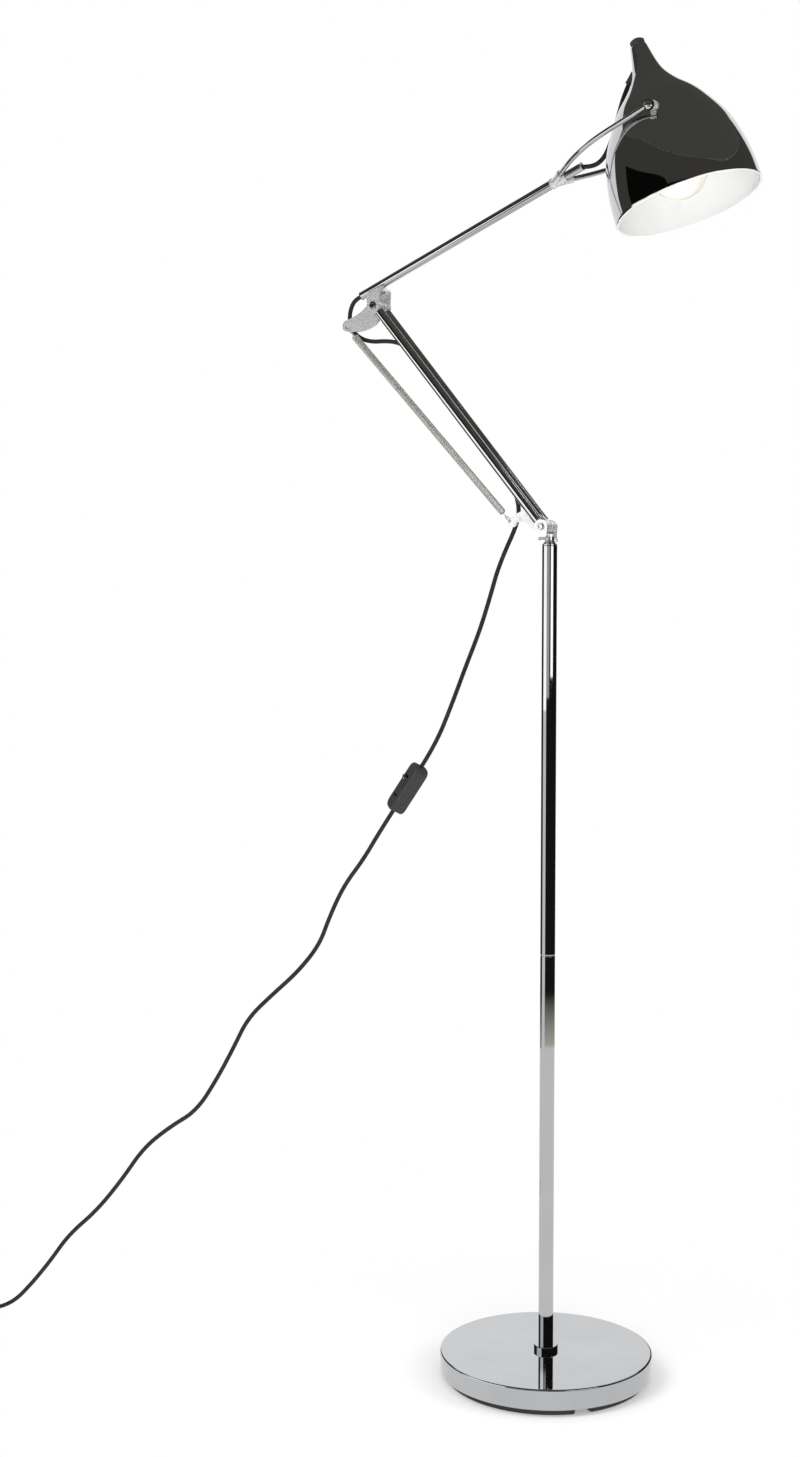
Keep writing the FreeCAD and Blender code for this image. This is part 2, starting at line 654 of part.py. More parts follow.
def make_lower_arm():
    for name, side in SIDES:
        start = LOWER.point(ARM_TUBE_START, side * ARM_TUBE_OFFSET, 0)
        end = LOWER.point(LOWER_LENGTH - ARM_TUBE_START, side * ARM_TUBE_OFFSET, 0)
        save("lower_arm_tube_" + name, ring(ARM_TUBE_RADIUS, TUBE_BORE, start, end))
    save("foot_knuckles", *[knuckle(LOWER, FOOT_KNUCKLE_RADIUS, side) for _, side in SIDES])
    save("elbow_knuckles", *[knuckle(ELBOW_END, ELBOW_KNUCKLE_RADIUS, side) for _, side in SIDES])
    save("friction_washers", *friction_washers(FOOT_PIVOT), *friction_washers(ELBOW_PIVOT))
    save("horn_lever", horn_lever())
    save("balance_spring", balance_spring())
    save("spring_end_plug", spring_end_plug())


# ---- upper arm ----
def elbow_bracket():
    """Two round-ended ears joined by a saddle that cradles the upper tube."""
    back, front = SADDLE
    floor_top = -SADDLE_DEPTH + SADDLE_FLOOR
    outline = [Vector(-ELBOW_EAR_RADIUS, 0, -ARM_RISE), Vector(ELBOW_EAR_RADIUS, 0, -ARM_RISE),
               Vector(front, 0, -SADDLE_DEPTH), Vector(front, 0, floor_top), Vector(back, 0, floor_top),
               Vector(back, 0, -SADDLE_DEPTH)]
    ear = prism(outline, ACROSS * EAR_THICKNESS)
    ear = fuse(ear, crosswise(ELBOW_EAR_RADIUS, Vector(0, 0, -ARM_RISE), 0, EAR_THICKNESS))
    near = ear.copy()
    near.translate(ACROSS * -EAR_OUTER)
    far = ear.copy()
    far.translate(ACROSS * EAR_INNER)
    floor = Part.makeBox(front - back, 2 * EAR_OUTER, SADDLE_FLOOR, Vector(back, -EAR_OUTER, -SADDLE_DEPTH))
    cradle = Part.makeBox(front - back, 2 * CRADLE_HALF, SADDLE_DEPTH - CRADLE_TOP,
                          Vector(back, -CRADLE_HALF, -SADDLE_DEPTH))
    body = fuse(near, far, floor, cradle)
    body = body.cut(cylinder(UPPER_TUBE_RADIUS, Vector(back - 1, 0, 0), Vector(front + 1, 0, 0)))
    body = body.cut(crosswise(HINGE_PIN + FIT, Vector(0, 0, -ARM_RISE), -EAR_OUTER - 1, EAR_OUTER + 1))
    for place in SADDLE_SCREWS:
        body = body.cut(cylinder(SADDLE_SCREW_RADIUS + FIT, Vector(place, 0, -SADDLE_DEPTH - 1), Vector(place, 0, 0)))
    return UPPER.place(body)


def elbow_lever():
    """Plate between the knuckles: hub on the pin, neck up to the saddle, tail for the spring."""
    hub = ELBOW_KNUCKLE_RADIUS
    turn = FreeCAD.Rotation(ACROSS, -UPPER_ANGLE)
    back, front = LEVER_NECK
    rise = ARM_RISE - SADDLE_DEPTH
    neck_back = turn.multVec(Vector(back, 0, rise))
    neck_front = turn.multVec(Vector(front, 0, rise))
    hub_right = heading(20) * hub
    hub_low = heading(-60) * hub
    upper = [Vector(x, 0, z) for x, z in LEVER_UPPER]
    lower = [Vector(x, 0, z) for x, z in LEVER_LOWER]
    tip_top, tip_out, tip_low = [Vector(x, 0, z) for x, z in LEVER_NOSE]
    edges = [Part.LineSegment(neck_back, neck_front).toShape(),
             Part.LineSegment(neck_front, hub_right).toShape(),
             Part.Arc(hub_right, heading(-20) * hub, hub_low).toShape(),
             smooth([hub_low] + lower + [tip_low]),
             Part.Arc(tip_low, tip_out, tip_top).toShape(),
             smooth([tip_top] + upper + [neck_back])]
    body = fuse(plate(edges, LEVER_HALF), crosswise(hub, Vector(), -LEVER_HALF, LEVER_HALF))
    body = body.cut(crosswise(HINGE_PIN + FIT, Vector(), -EAR_INNER, EAR_INNER))
    body = body.cut(crosswise(HOOK_HOLE, LEVER_TIP, -EAR_INNER, EAR_INNER))
    body.translate(ELBOW_PIVOT)
    return body


def saddle_screws():
    for place in SADDLE_SCREWS:
        seat = Vector(place, 0, -SADDLE_DEPTH)
        head = cylinder(SADDLE_HEAD_RADIUS, seat - UP * SADDLE_HEAD_HEIGHT, seat)
        yield UPPER.place(fuse(head, cylinder(SADDLE_SCREW_RADIUS, seat, Vector(place, 0, -UPPER_BORE))))


def upper_arm_tube():
    tube = ring(UPPER_TUBE_RADIUS, UPPER_BORE, Vector(-UPPER_REAR, 0, 0), Vector(UPPER_REACH, 0, 0))
    for place in SADDLE_SCREWS:
        tube = tube.cut(cylinder(SADDLE_SCREW_RADIUS + FIT, Vector(place, 0, -SADDLE_DEPTH), Vector(place, 0, 0)))
    return UPPER.place(tube)


def rear_grommet():
    inside = UPPER_BORE - FIT
    lip = ring(UPPER_TUBE_RADIUS, CORD_HOLE, Vector(-UPPER_REAR - GROMMET_LIP, 0, 0), Vector(-UPPER_REAR, 0, 0))
    stem = ring(inside, CORD_HOLE, Vector(-UPPER_REAR, 0, 0), Vector(-UPPER_REAR + GROMMET_LENGTH, 0, 0))
    return UPPER.place(fuse(lip, stem))


def rod_edges(side):
    """Centre line of one fork rod: straight, one bend, straight, as a wire in the fork's plane."""
    root, start, end, tip = [Vector(x, side * y, 0) for x, y in (ROD_ROOT, ROD_BEND_START, ROD_BEND_END, ROD_END)]
    before = (start - root).normalize()
    after = (tip - end).normalize()
    half_turn = before.getAngle(after) / 2
    chord = (end - start).Length
    bulge = chord / 2 * math.tan(half_turn / 2)
    middle = (start + end) / 2 + Vector(-before.y - after.y, before.x + after.x, 0).normalize() * (side * bulge)
    return Part.Wire([Part.LineSegment(root, start).toShape(), Part.Arc(start, middle, end).toShape(),
                      Part.LineSegment(end, tip).toShape()]), before


def fork_rod(side):
    path, _ = rod_edges(side)
    rod = swept(path, ROD_RADIUS)
    centre = Vector(ROD_END[0], side * ROD_END[1], 0)
    trim = crosswise(EYE_RADIUS - 1, centre, -2 * ROD_RADIUS, 2 * ROD_RADIUS)
    ahead = Part.makeBox(EYE_RADIUS, 4 * ROD_RADIUS, 4 * ROD_RADIUS, centre - Vector(0, 2 * ROD_RADIUS, 2 * ROD_RADIUS))
    eye = crosswise(EYE_RADIUS, centre, -EYE_HALF, EYE_HALF)
    rod = fuse(rod.cut(trim).cut(ahead), eye)
    return FORK.place(rod.cut(crosswise(SHADE_SCREW + FIT, centre, -3 * EYE_HALF, 3 * EYE_HALF)))


def fork_socket(rods):
    """Casting at the arm's end: spigot in the tube, two slanted bosses that hold the rods."""
    body = fuse(cylinder(UPPER_BORE - FIT, Vector(-SOCKET_SPIGOT, 0, 0), Vector()),
                cylinder(SOCKET_RADIUS, Vector(), Vector(SOCKET_LENGTH, 0, 0)))
    body = SOCKET.place(body)
    for _, side in SIDES:
        _, direction = rod_edges(side)
        root = Vector(ROD_ROOT[0], side * ROD_ROOT[1], 0)
        back = root - direction * (ROD_ROOT[1] * 0.5)
        boss = cylinder(SOCKET_BOSS_RADIUS, back, root + direction * ROD_BOSS_LENGTH)
        body = fuse(body, FORK.place(boss))
    bore = cylinder(CORD_HOLE, Vector(-SOCKET_SPIGOT - 1, 0, 0), Vector(SOCKET_LENGTH + 1, 0, 0))
    stem = cylinder(FERRULE_STEM + FIT, Vector(SOCKET_LENGTH / 2, 0, 0), Vector(SOCKET_LENGTH + 1, 0, 0))
    return body.cut(SOCKET.place(fuse(bore, stem))).cut(rods[0]).cut(rods[1])


def cord_ferrule():
    """Sleeve round the cable ahead of the socket, with a small flare."""
    start = SOCKET_LENGTH
    end = FERRULE_END
    outline = [(CORD_HOLE, start / 2), (FERRULE_STEM, start / 2), (FERRULE_STEM, start),
               (FERRULE_RADIUS, start), (FERRULE_RADIUS, end - FERRULE_FLARE_LENGTH),
               (FERRULE_FLARE, end), (CORD_HOLE + 1, end), (CORD_HOLE, end - FERRULE_FLARE_LENGTH)]
    body = turned(outline)
    body.rotate(Vector(), ACROSS, 90)
    return SOCKET.place(body)


def make_upper_arm():
    save("elbow_bracket", elbow_bracket())
    save("elbow_lever", elbow_lever())
    save("elbow_pivot_bolt", hinge_bolt(ELBOW_PIVOT))
    save("elbow_pivot_nut", *hinge_nut_and_washers(ELBOW_PIVOT))
    save("saddle_screws", *saddle_screws())
    save("upper_arm_tube", upper_arm_tube())
    save("rear_grommet", rear_grommet())
    rods = [fork_rod(side) for _, side in SIDES]
    for (name, _), rod in zip(SIDES, rods):
        save("fork_rod_" + name, rod)
    save("fork_socket", fork_socket(rods))
    save("cord_ferrule", cord_ferrule())


# ---- shade, modelled hanging straight down from its cap with the front at +X ----
def bell_curve(wall):
    """The bell's line moved inwards by a wall, square to the line."""
    points = []
    for index, (down, radius) in enumerate(BELL):
        before = BELL[max(index - 1, 0)]
        after = BELL[min(index + 1, len(BELL) - 1)]
        slope = Vector(after[1] - before[1], 0, before[0] - after[0]).normalize()
        points.append(Vector(radius, 0, -down) + Vector(slope.z, 0, -slope.x) * wall)
    return points


def shade_shell():
    outer = bell_curve(0)
    inner = bell_curve(SHADE_WALL)
    shoulder = Vector(BELL_SHOULDER, 0, -CAP_HEIGHT)
    hole = NIPPLE_RADIUS + FIT
    ceiling = -CAP_HEIGHT - SHADE_WALL
    lip_radius = BELL[-1][1] - SHADE_LIP
    lip_top = -SHADE_LENGTH + SHADE_LIP_DEPTH
    inner_top = Vector(inner[0].x, 0, ceiling)
    inner_run = [inner_top] + inner[1:-1] + [Vector(inner[-1].x, 0, lip_top)]
    corners = [inner_run[-1], Vector(lip_radius, 0, lip_top), Vector(lip_radius, 0, -SHADE_LENGTH), outer[-1]]
    top = [outer[0], shoulder, Vector(hole, 0, -CAP_HEIGHT), Vector(hole, 0, ceiling), inner_top]
    edges = [smooth(outer), smooth(inner_run)]
    edges += [Part.LineSegment(a, b).toShape() for a, b in zip(corners, corners[1:])]
    edges += [Part.LineSegment(a, b).toShape() for a, b in zip(top, top[1:])]
    shell = Part.Face(Part.Wire(Part.sortEdges(edges)[0])).revolve(Vector(), UP, 360)
    span = BELL[-1][1] + 1
    shell = shell.cut(crosswise(SHADE_SCREW + FIT, shade_pivot(), -span, span))
    return shell.cut(gland_bore(GLAND_RADIUS - 1))


def shade_filled():
    """The bell without its hollow, for seating pieces on its outside."""
    outer = bell_curve(0)
    edges = [smooth(outer), Part.makePolygon([outer[-1], Vector(0, 0, -SHADE_LENGTH), Vector(0, 0, -CAP_HEIGHT),
                                              Vector(BELL_SHOULDER, 0, -CAP_HEIGHT), outer[0]])]
    return Part.Face(Part.Wire(edges)).revolve(Vector(), UP, 360)


def shade_pivot():
    return Vector(PIVOT_FORWARD, 0, -PIVOT_DOWN)


def gland_ends():
    """Ends of the cable gland on the back of the bell's neck, inner end first."""
    inner = Vector(-GLAND_BEHIND, 0, -GLAND_DOWN)
    direction = heading(-90 - GLAND_LEAN - SHADE_ANGLE)
    return inner, inner + direction * GLAND_LENGTH


def gland_bore(radius):
    inner, outer = gland_ends()
    return cylinder(radius, inner - (outer - inner) * 0.3, outer)


def shade_gland(shell):
    inner, outer = gland_ends()
    collar = cylinder(GLAND_RADIUS, inner, outer).cut(shade_filled())
    neck = gland_bore(GLAND_RADIUS - 1 - FIT).common(shade_filled())
    body = fuse(collar, neck)
    return max(body.Solids, key=lambda solid: solid.Volume).cut(gland_bore(CORD_RADIUS + GLAND_PASS)).cut(shell)


def shade_cap():
    """Low dome screwed on the nipple above the bell."""
    cap = dome(CAP_RADIUS, CAP_DOME, Vector(), UP * -1)
    cap = fuse(cap, upright(CAP_RADIUS, -CAP_HEIGHT, -CAP_DOME))
    return cap.cut(upright(NIPPLE_RADIUS + FIT, -CAP_HEIGHT - 1, -CAP_DOME - FIT))


def nipple_and_nut():
    ceiling = -CAP_HEIGHT - SHADE_WALL
    nipple = ring(NIPPLE_RADIUS, NIPPLE_BORE, UP * -(CAP_DOME + TURN_GAP), UP * -(HOLDER_START + HOLDER_FLOOR))
    nut = hexagon(NIPPLE_NUT_FLAT, UP * (ceiling - NIPPLE_NUT_HEIGHT), UP * ceiling)
    return nipple, nut.cut(upright(NIPPLE_RADIUS + FIT, ceiling - NIPPLE_NUT_HEIGHT - 1, ceiling + 1))


def lamp_holder():
    """Socket sleeve under the nipple, open downwards."""
    holder = upright(HOLDER_RADIUS, -HOLDER_END, -HOLDER_START)
    holder = holder.cut(upright(HOLDER_RADIUS - HOLDER_WALL, -HOLDER_END - 1, -HOLDER_START - HOLDER_FLOOR))
    return holder.cut(upright(NIPPLE_RADIUS + FIT, -HOLDER_START - HOLDER_FLOOR - 1, -HOLDER_START + 1))


def bulb_screw_cap():
    """Metal screw cap of the bulb, with its centre contact against the holder."""
    top = -BULB_CAP_START
    sleeve = ring(BULB_CAP_RADIUS, BULB_CAP_RADIUS - BULB_CAP_WALL, UP * -HOLDER_END, UP * top)
    lid = upright(BULB_CAP_RADIUS, top - BULB_CAP_WALL, top)
    contact = upright(NIPPLE_RADIUS, top, -HOLDER_START - HOLDER_FLOOR)
    return fuse(sleeve, lid, contact)


def bulb_globe():
    """Opal globe whose neck stands on the screw cap."""
    centre = -(BULB_END - BULB_RADIUS)
    sphere = Part.makeSphere(BULB_RADIUS, UP * centre)
    neck = Part.makeCone(BULB_RADIUS * 0.94, BULB_NECK, -BULB_NECK_END - centre - 10, UP * (centre + 10))
    collar = upright(BULB_NECK, -BULB_NECK_END, -HOLDER_END)
    inside = Part.makeSphere(BULB_RADIUS - BULB_WALL, UP * centre)
    funnel = Part.makeCone(BULB_RADIUS * 0.94 - BULB_WALL, BULB_NECK - BULB_WALL, -BULB_NECK_END - centre - 10,
                           UP * (centre + 10))
    mouth = upright(BULB_NECK - BULB_WALL, -BULB_NECK_END - 1, -HOLDER_END + 1)
    return fuse(sphere, neck, collar).cut(fuse(inside, funnel, mouth))


def shade_fixings(shell):
    """On each side: stand-off with its cup washer, and the screw with its outer and inner nuts."""
    filled = shade_filled()
    pivot = shade_pivot()
    wall_y = math.sqrt(bell_radius(PIVOT_DOWN) ** 2 - PIVOT_FORWARD ** 2)
    eye_inner = ROD_END[1] - EYE_HALF
    eye_outer = ROD_END[1] + EYE_HALF
    hole = SHADE_SCREW + FIT
    standoffs = []
    screws = []
    for _, side in SIDES:
        seat = side * (wall_y + STANDOFF_FLANGE_THICKNESS)
        barrel = crosswise(STANDOFF_RADIUS, pivot, side * wall_y * 0.8, side * (eye_inner - TURN_GAP))
        flange = crosswise(STANDOFF_FLANGE, pivot, side * wall_y * 0.8, seat)
        standoff = fuse(barrel, flange).cut(filled)
        standoffs.append(standoff.cut(crosswise(hole, pivot, 0, side * 2 * wall_y)))
        head_seat = eye_outer + TURN_GAP
        shank = crosswise(SHADE_SCREW, pivot, side * (wall_y - 2 * INNER_NUT), side * head_seat)
        crown = pivot + ACROSS * (side * (head_seat + SHADE_SCREW_DOME))
        head = dome(SHADE_SCREW_HEAD, SHADE_SCREW_DOME, crown, ACROSS * -side)
        nut = crosswise(INNER_NUT_RADIUS, pivot, side * (wall_y - 2 * INNER_NUT), side * wall_y * 1.1)
        nut = nut.common(filled).cut(shell)
        nut = min(nut.Solids, key=lambda solid: abs(solid.CenterOfMass.y))
        screws.append(fuse(shank, head))
        screws.append(nut.cut(crosswise(hole, pivot, 0, side * 2 * wall_y)))
    return standoffs, screws


def bell_radius(down):
    """Radius of the bell at a distance below the cap's top, between the points of its line."""
    for (upper, small), (lower, large) in zip(BELL, BELL[1:]):
        if upper <= down <= lower:
            return small + (large - small) * (down - upper) / (lower - upper)
    return BELL[-1][1]


def make_shade():
    shell = shade_shell()
    standoffs, screws = shade_fixings(shell)
    save("shade_shell", SHADE.place(shell))
    save("shade_cap", SHADE.place(shade_cap()))
    save("shade_nipple", *[SHADE.place(piece) for piece in nipple_and_nut()])
    save("shade_gland", SHADE.place(shade_gland(shell)))
    save("shade_standoffs", *[SHADE.place(piece) for piece in standoffs])
    save("shade_pivot_screws", *[SHADE.place(piece) for piece in screws])
    save("lamp_holder", SHADE.place(lamp_holder()))
    save("bulb_screw_cap", SHADE.place(bulb_screw_cap()))
    save("bulb_globe", SHADE.place(bulb_globe()))


# ---- cable held by the arm ----
def lower_gap_point(distance):
    """Point in the gap between the lower tubes, measured from the foot pivot."""
    return LOWER.point(distance, 0, 0)


GAP_LOW = 75.0                   # ends of the stretch held in the gap, from each hinge
GAP_HIGH = 80.0
GAP_RUN = 14.0                   # straight run beyond each of them
TUBE_RUN = 8.0                   # straight run behind the upper tube
FERRULE_RUN = 9.0
GLAND_RUN = 5.0
# loop behind the elbow, from the elbow pivot: (forward, across, up)
ELBOW_LOOP = ((-35.0, 0.6, 4.0), (-38.8, 2.2, -4.0), (-40.6, 4.7, -13.0), (-38.6, 6.8, -22.4),
              (-32.2, 8.6, -29.5), (-22.3, 7.8, -34.4), (-8.3, 3.6, -37.3), (7.6, 0.6, -37.8),
              (21.0, 0, -39.6), (31.4, 0, -43.7))
# loop from the ferrule up to the shade's gland, from the socket's shoulder: (forward, up)
SHADE_LOOP = ((44.6, 14.0), (52.0, 15.4), (58.9, 20.2), (64.2, 28.2), (69.4, 40.5),
              (74.6, 57.5))
LOOP_START = 28.0                # inside the ferrule, from the socket's shoulder
# from the gap past the horn to the free lead: (x, y, z)
EXIT_ROUTE = ((-40.0, 1.4, 954.2), (-38.6, 4.5, 941.0), (-41.0, 5.2, 928.2))
EXIT_RUN = 9.6                   # straight run in line with the free lead's start
LEAD_START = (-48.8, 908.3)
LEAD_UPPER = ((-60.5, 882.0), (-69.8, 848.0), (-81.0, 811.0), (-96.5, 771.0), (-111.0, 731.0))
LEAD_LOWER = ((-209, 557), (-231, 527), (-247.5, 491), (-259, 459), (-284, 427), (-313, 400),
              (-342, 371), (-358.5, 337), (-378, 300), (-403, 260), (-435, 239), (-467, 212), (-494, 172),
              (-525, 133), (-560, 101), (-583, 68), (-607, 38), (-630, 13.5), (-656, CORD_RADIUS))
LEAD_TAIL = ((18, 5.0), (36, 3.4))      # from the coil towards the plug: (on along X, height)
TAIL_END = (54, 70)
SWITCH_RUN = 30.0                # straight run of the lead at each end of the switch


def hang(x, z):
    """Point of the free lead in its upright plane."""
    return Vector(x, LEAD_PLANE_Y + (x - LEAD_PLANE_X) * LEAD_PLANE_SLOPE, z)


def make_held_cord():
    start = LOOP_START
    save("cord_in_upper_tube",
         cylinder(CORD_RADIUS, UPPER.point(-UPPER_REAR - GROMMET_LIP, 0, 0), SOCKET.point(start, 0, 0)))
    rear = [UPPER.point(-UPPER_REAR - GROMMET_LIP - run, 0, 0) for run in (0, TUBE_RUN)]
    loop = [ELBOW_PIVOT + Vector(point) for point in ELBOW_LOOP]
    entry = [lower_gap_point(LOWER_LENGTH - GAP_HIGH + run) for run in (GAP_RUN, 0)]
    save("cord_elbow_loop", cord(rear + loop + entry, "cord_elbow_loop"))
    save("cord_in_arm", cylinder(CORD_RADIUS, lower_gap_point(GAP_LOW), lower_gap_point(LOWER_LENGTH - GAP_HIGH)))
    gland_inner, gland_outer = [SHADE.placement.multVec(point) for point in gland_ends()]
    loop = [SOCKET.origin + Vector(x, 0, z) for x, z in SHADE_LOOP]
    gland_far = gland_outer + (gland_outer - gland_inner).normalize() * GLAND_RUN
    route = [SOCKET.point(start + run, 0, 0) for run in (0, FERRULE_RUN)] + loop + [gland_far, gland_inner]
    save("cord_shade_loop", cord(route, "cord_shade_loop"))


# ---- free lead, its switch, coil and plug ----
def switch_frame():
    """Placement of the switch: local X down the lead, Z out of the rocker's face."""
    axis = Vector(SWITCH_AXIS).normalize()
    across = Vector(SWITCH_FACE).cross(axis).normalize()
    face = axis.cross(across).normalize()
    matrix = FreeCAD.Matrix(axis.x, across.x, face.x, 0, axis.y, across.y, face.y, 0,
                            axis.z, across.z, face.z, 0, 0, 0, 0, 1)
    return FreeCAD.Placement(hang(SWITCH_CENTRE_X, SWITCH_CENTRE_Z), FreeCAD.Placement(matrix).Rotation)


def rounded_block(length, width, low, high, corner):
    """Upright block centred on the origin with rounded corners."""
    block = Part.makeBox(length, width, high - low, Vector(-length / 2, -width / 2, low))
    return block.makeFillet(corner, edges_at(block, lambda box: box.ZLength > high - low - FIT))


def switch_housing():
    """The housing's two halves, hollow, with the rocker's window in the upper one."""
    half = SWITCH_HEIGHT / 2
    outer = rounded_block(SWITCH_LENGTH, SWITCH_WIDTH, -half, half, SWITCH_CORNER)
    outer = outer.makeFillet(SWITCH_EDGE, edges_at(outer, lambda box: box.ZLength < FIT))
    inner_half = half - SWITCH_WALL
    inner = rounded_block(SWITCH_LENGTH - 4 * SWITCH_WALL, SWITCH_WIDTH - 2 * SWITCH_WALL, -inner_half,
                          inner_half, SWITCH_CORNER - SWITCH_WALL)
    window_length = 2 * (ROCKER_HALF_LENGTH + ROCKER_SWEEP)
    window_width = 2 * (ROCKER_HALF_WIDTH + ROCKER_GAP)
    window = Part.makeBox(window_length, window_width, SWITCH_HEIGHT, Vector(-window_length / 2, -window_width / 2, 0))
    rails = []
    for _, side in SIDES:
        near_face = side * window_width / 2
        depth = SWITCH_WIDTH / 2 - window_width / 2 - SWITCH_WALL / 2
        corner = Vector(-2 * ROCKER_PIN, min(near_face, near_face + side * depth), ROCKER_AXLE - 2 * ROCKER_PIN)
        rails.append(Part.makeBox(4 * ROCKER_PIN, depth, inner_half - corner.z + SWITCH_WALL / 2, corner))
    shell = outer.cut(inner).cut(window)
    bed = Part.makeBox(2 * SWITCH_LENGTH, 2 * SWITCH_WIDTH, SWITCH_HEIGHT,
                       Vector(-SWITCH_LENGTH, -SWITCH_WIDTH, SWITCH_SEAM - SWITCH_HEIGHT))
    upper = fuse(shell.cut(bed), *rails)
    axle_end = ROCKER_HALF_WIDTH + ROCKER_PIN_LENGTH + FIT
    upper = upper.cut(crosswise(ROCKER_PIN + FIT, UP * ROCKER_AXLE, -axle_end, axle_end))
    return shell.common(bed), upper


def switch_rocker():
    """Rocker with one raised end and a hollowed top, on its two short axle pins."""
    half = SWITCH_HEIGHT / 2
    reach = ROCKER_HALF_LENGTH
    bottom = ROCKER_AXLE - 2.2
    crest = Vector(-reach, 0, half + ROCKER_RAISE)
    dip = Vector(-1, 0, half + 0.5)
    heel = Vector(reach, 0, half + 0.2)
    edges = [Part.Arc(crest, dip, heel).toShape(),
             Part.makePolygon([heel, Vector(reach, 0, half - 1.5), Vector(3, 0, bottom), Vector(-3, 0, bottom),
                               Vector(-reach, 0, half - 1.5), crest])]
    face = Part.Face(Part.Wire(Part.sortEdges([edges[0]] + edges[1].Edges)[0]))
    face.translate(ACROSS * -ROCKER_HALF_WIDTH)
    body = face.extrude(ACROSS * (2 * ROCKER_HALF_WIDTH))
    pin_end = ROCKER_HALF_WIDTH + ROCKER_PIN_LENGTH
    return fuse(body, crosswise(ROCKER_PIN, UP * ROCKER_AXLE, -pin_end, pin_end))


def coil_solid():
    """Outer shape of the coiled spare lead, lying on the tie's lowest side."""
    width = COIL_TURNS_WIDE * CORD_RADIUS
    low = TIE_THICKNESS
    high = low + 2 * CORD_RADIUS * COIL_LAYERS
    body = ring(COIL_RADIUS + width, COIL_RADIUS - width, UP * low, UP * high)
    rims = edges_at(body, lambda box: box.ZLength < FIT)
    return body.makeFillet(CORD_RADIUS * 0.8, rims), high


def coil_centre():
    direction = Vector(-1, -LEAD_PLANE_SLOPE, 0).normalize()
    outermost = COIL_RADIUS + (COIL_TURNS_WIDE - 1) * CORD_RADIUS
    return hang(COIL_ENTRY_X, 0) + UP.cross(direction) * outermost


def coil_tie(high):
    """Flat band round the coil's bundle."""
    width = COIL_TURNS_WIDE * CORD_RADIUS
    reach = 2 * (width + TIE_THICKNESS)
    start = COIL_RADIUS - width - TIE_THICKNESS
    band = Part.makeBox(reach, TIE_WIDTH, high + TIE_THICKNESS, Vector(start, -TIE_WIDTH / 2, 0))
    band.rotate(Vector(), UP, TIE_DIRECTION)
    return band


def plug_frame(nose):
    """Placement of the plug: local X from the lead towards the pins."""
    direction = math.degrees(math.atan2(-LEAD_PLANE_SLOPE, -1))
    return FreeCAD.Placement(nose, FreeCAD.Rotation(UP, direction))


def plug_body():
    """Flat two-pin plug, waisted towards the lead."""
    half = PLUG_BODY_WIDTH / 2
    nose = PLUG_NOSE_WIDTH / 2
    outline = [(0, -nose), (PLUG_TAPER, -half), (PLUG_BODY_LENGTH, -half),
               (PLUG_BODY_LENGTH, half), (PLUG_TAPER, half), (0, nose)]
    body = prism([Vector(x, y, -PLUG_BODY_HEIGHT / 2) for x, y in outline], UP * PLUG_BODY_HEIGHT)
    body = body.makeFillet(PLUG_EDGE, body.Edges)
    return body


def plug_pins():
    for _, side in SIDES:
        y = side * PIN_SPACING / 2
        pin = cylinder(PIN_RADIUS, Vector(PLUG_BODY_LENGTH, y, 0), Vector(PLUG_BODY_LENGTH + PIN_LENGTH, y, 0))
        tip = edges_at(pin, lambda box: box.XMin > PLUG_BODY_LENGTH + PIN_LENGTH - FIT)
        yield pin.makeFillet(PIN_TIP, tip)


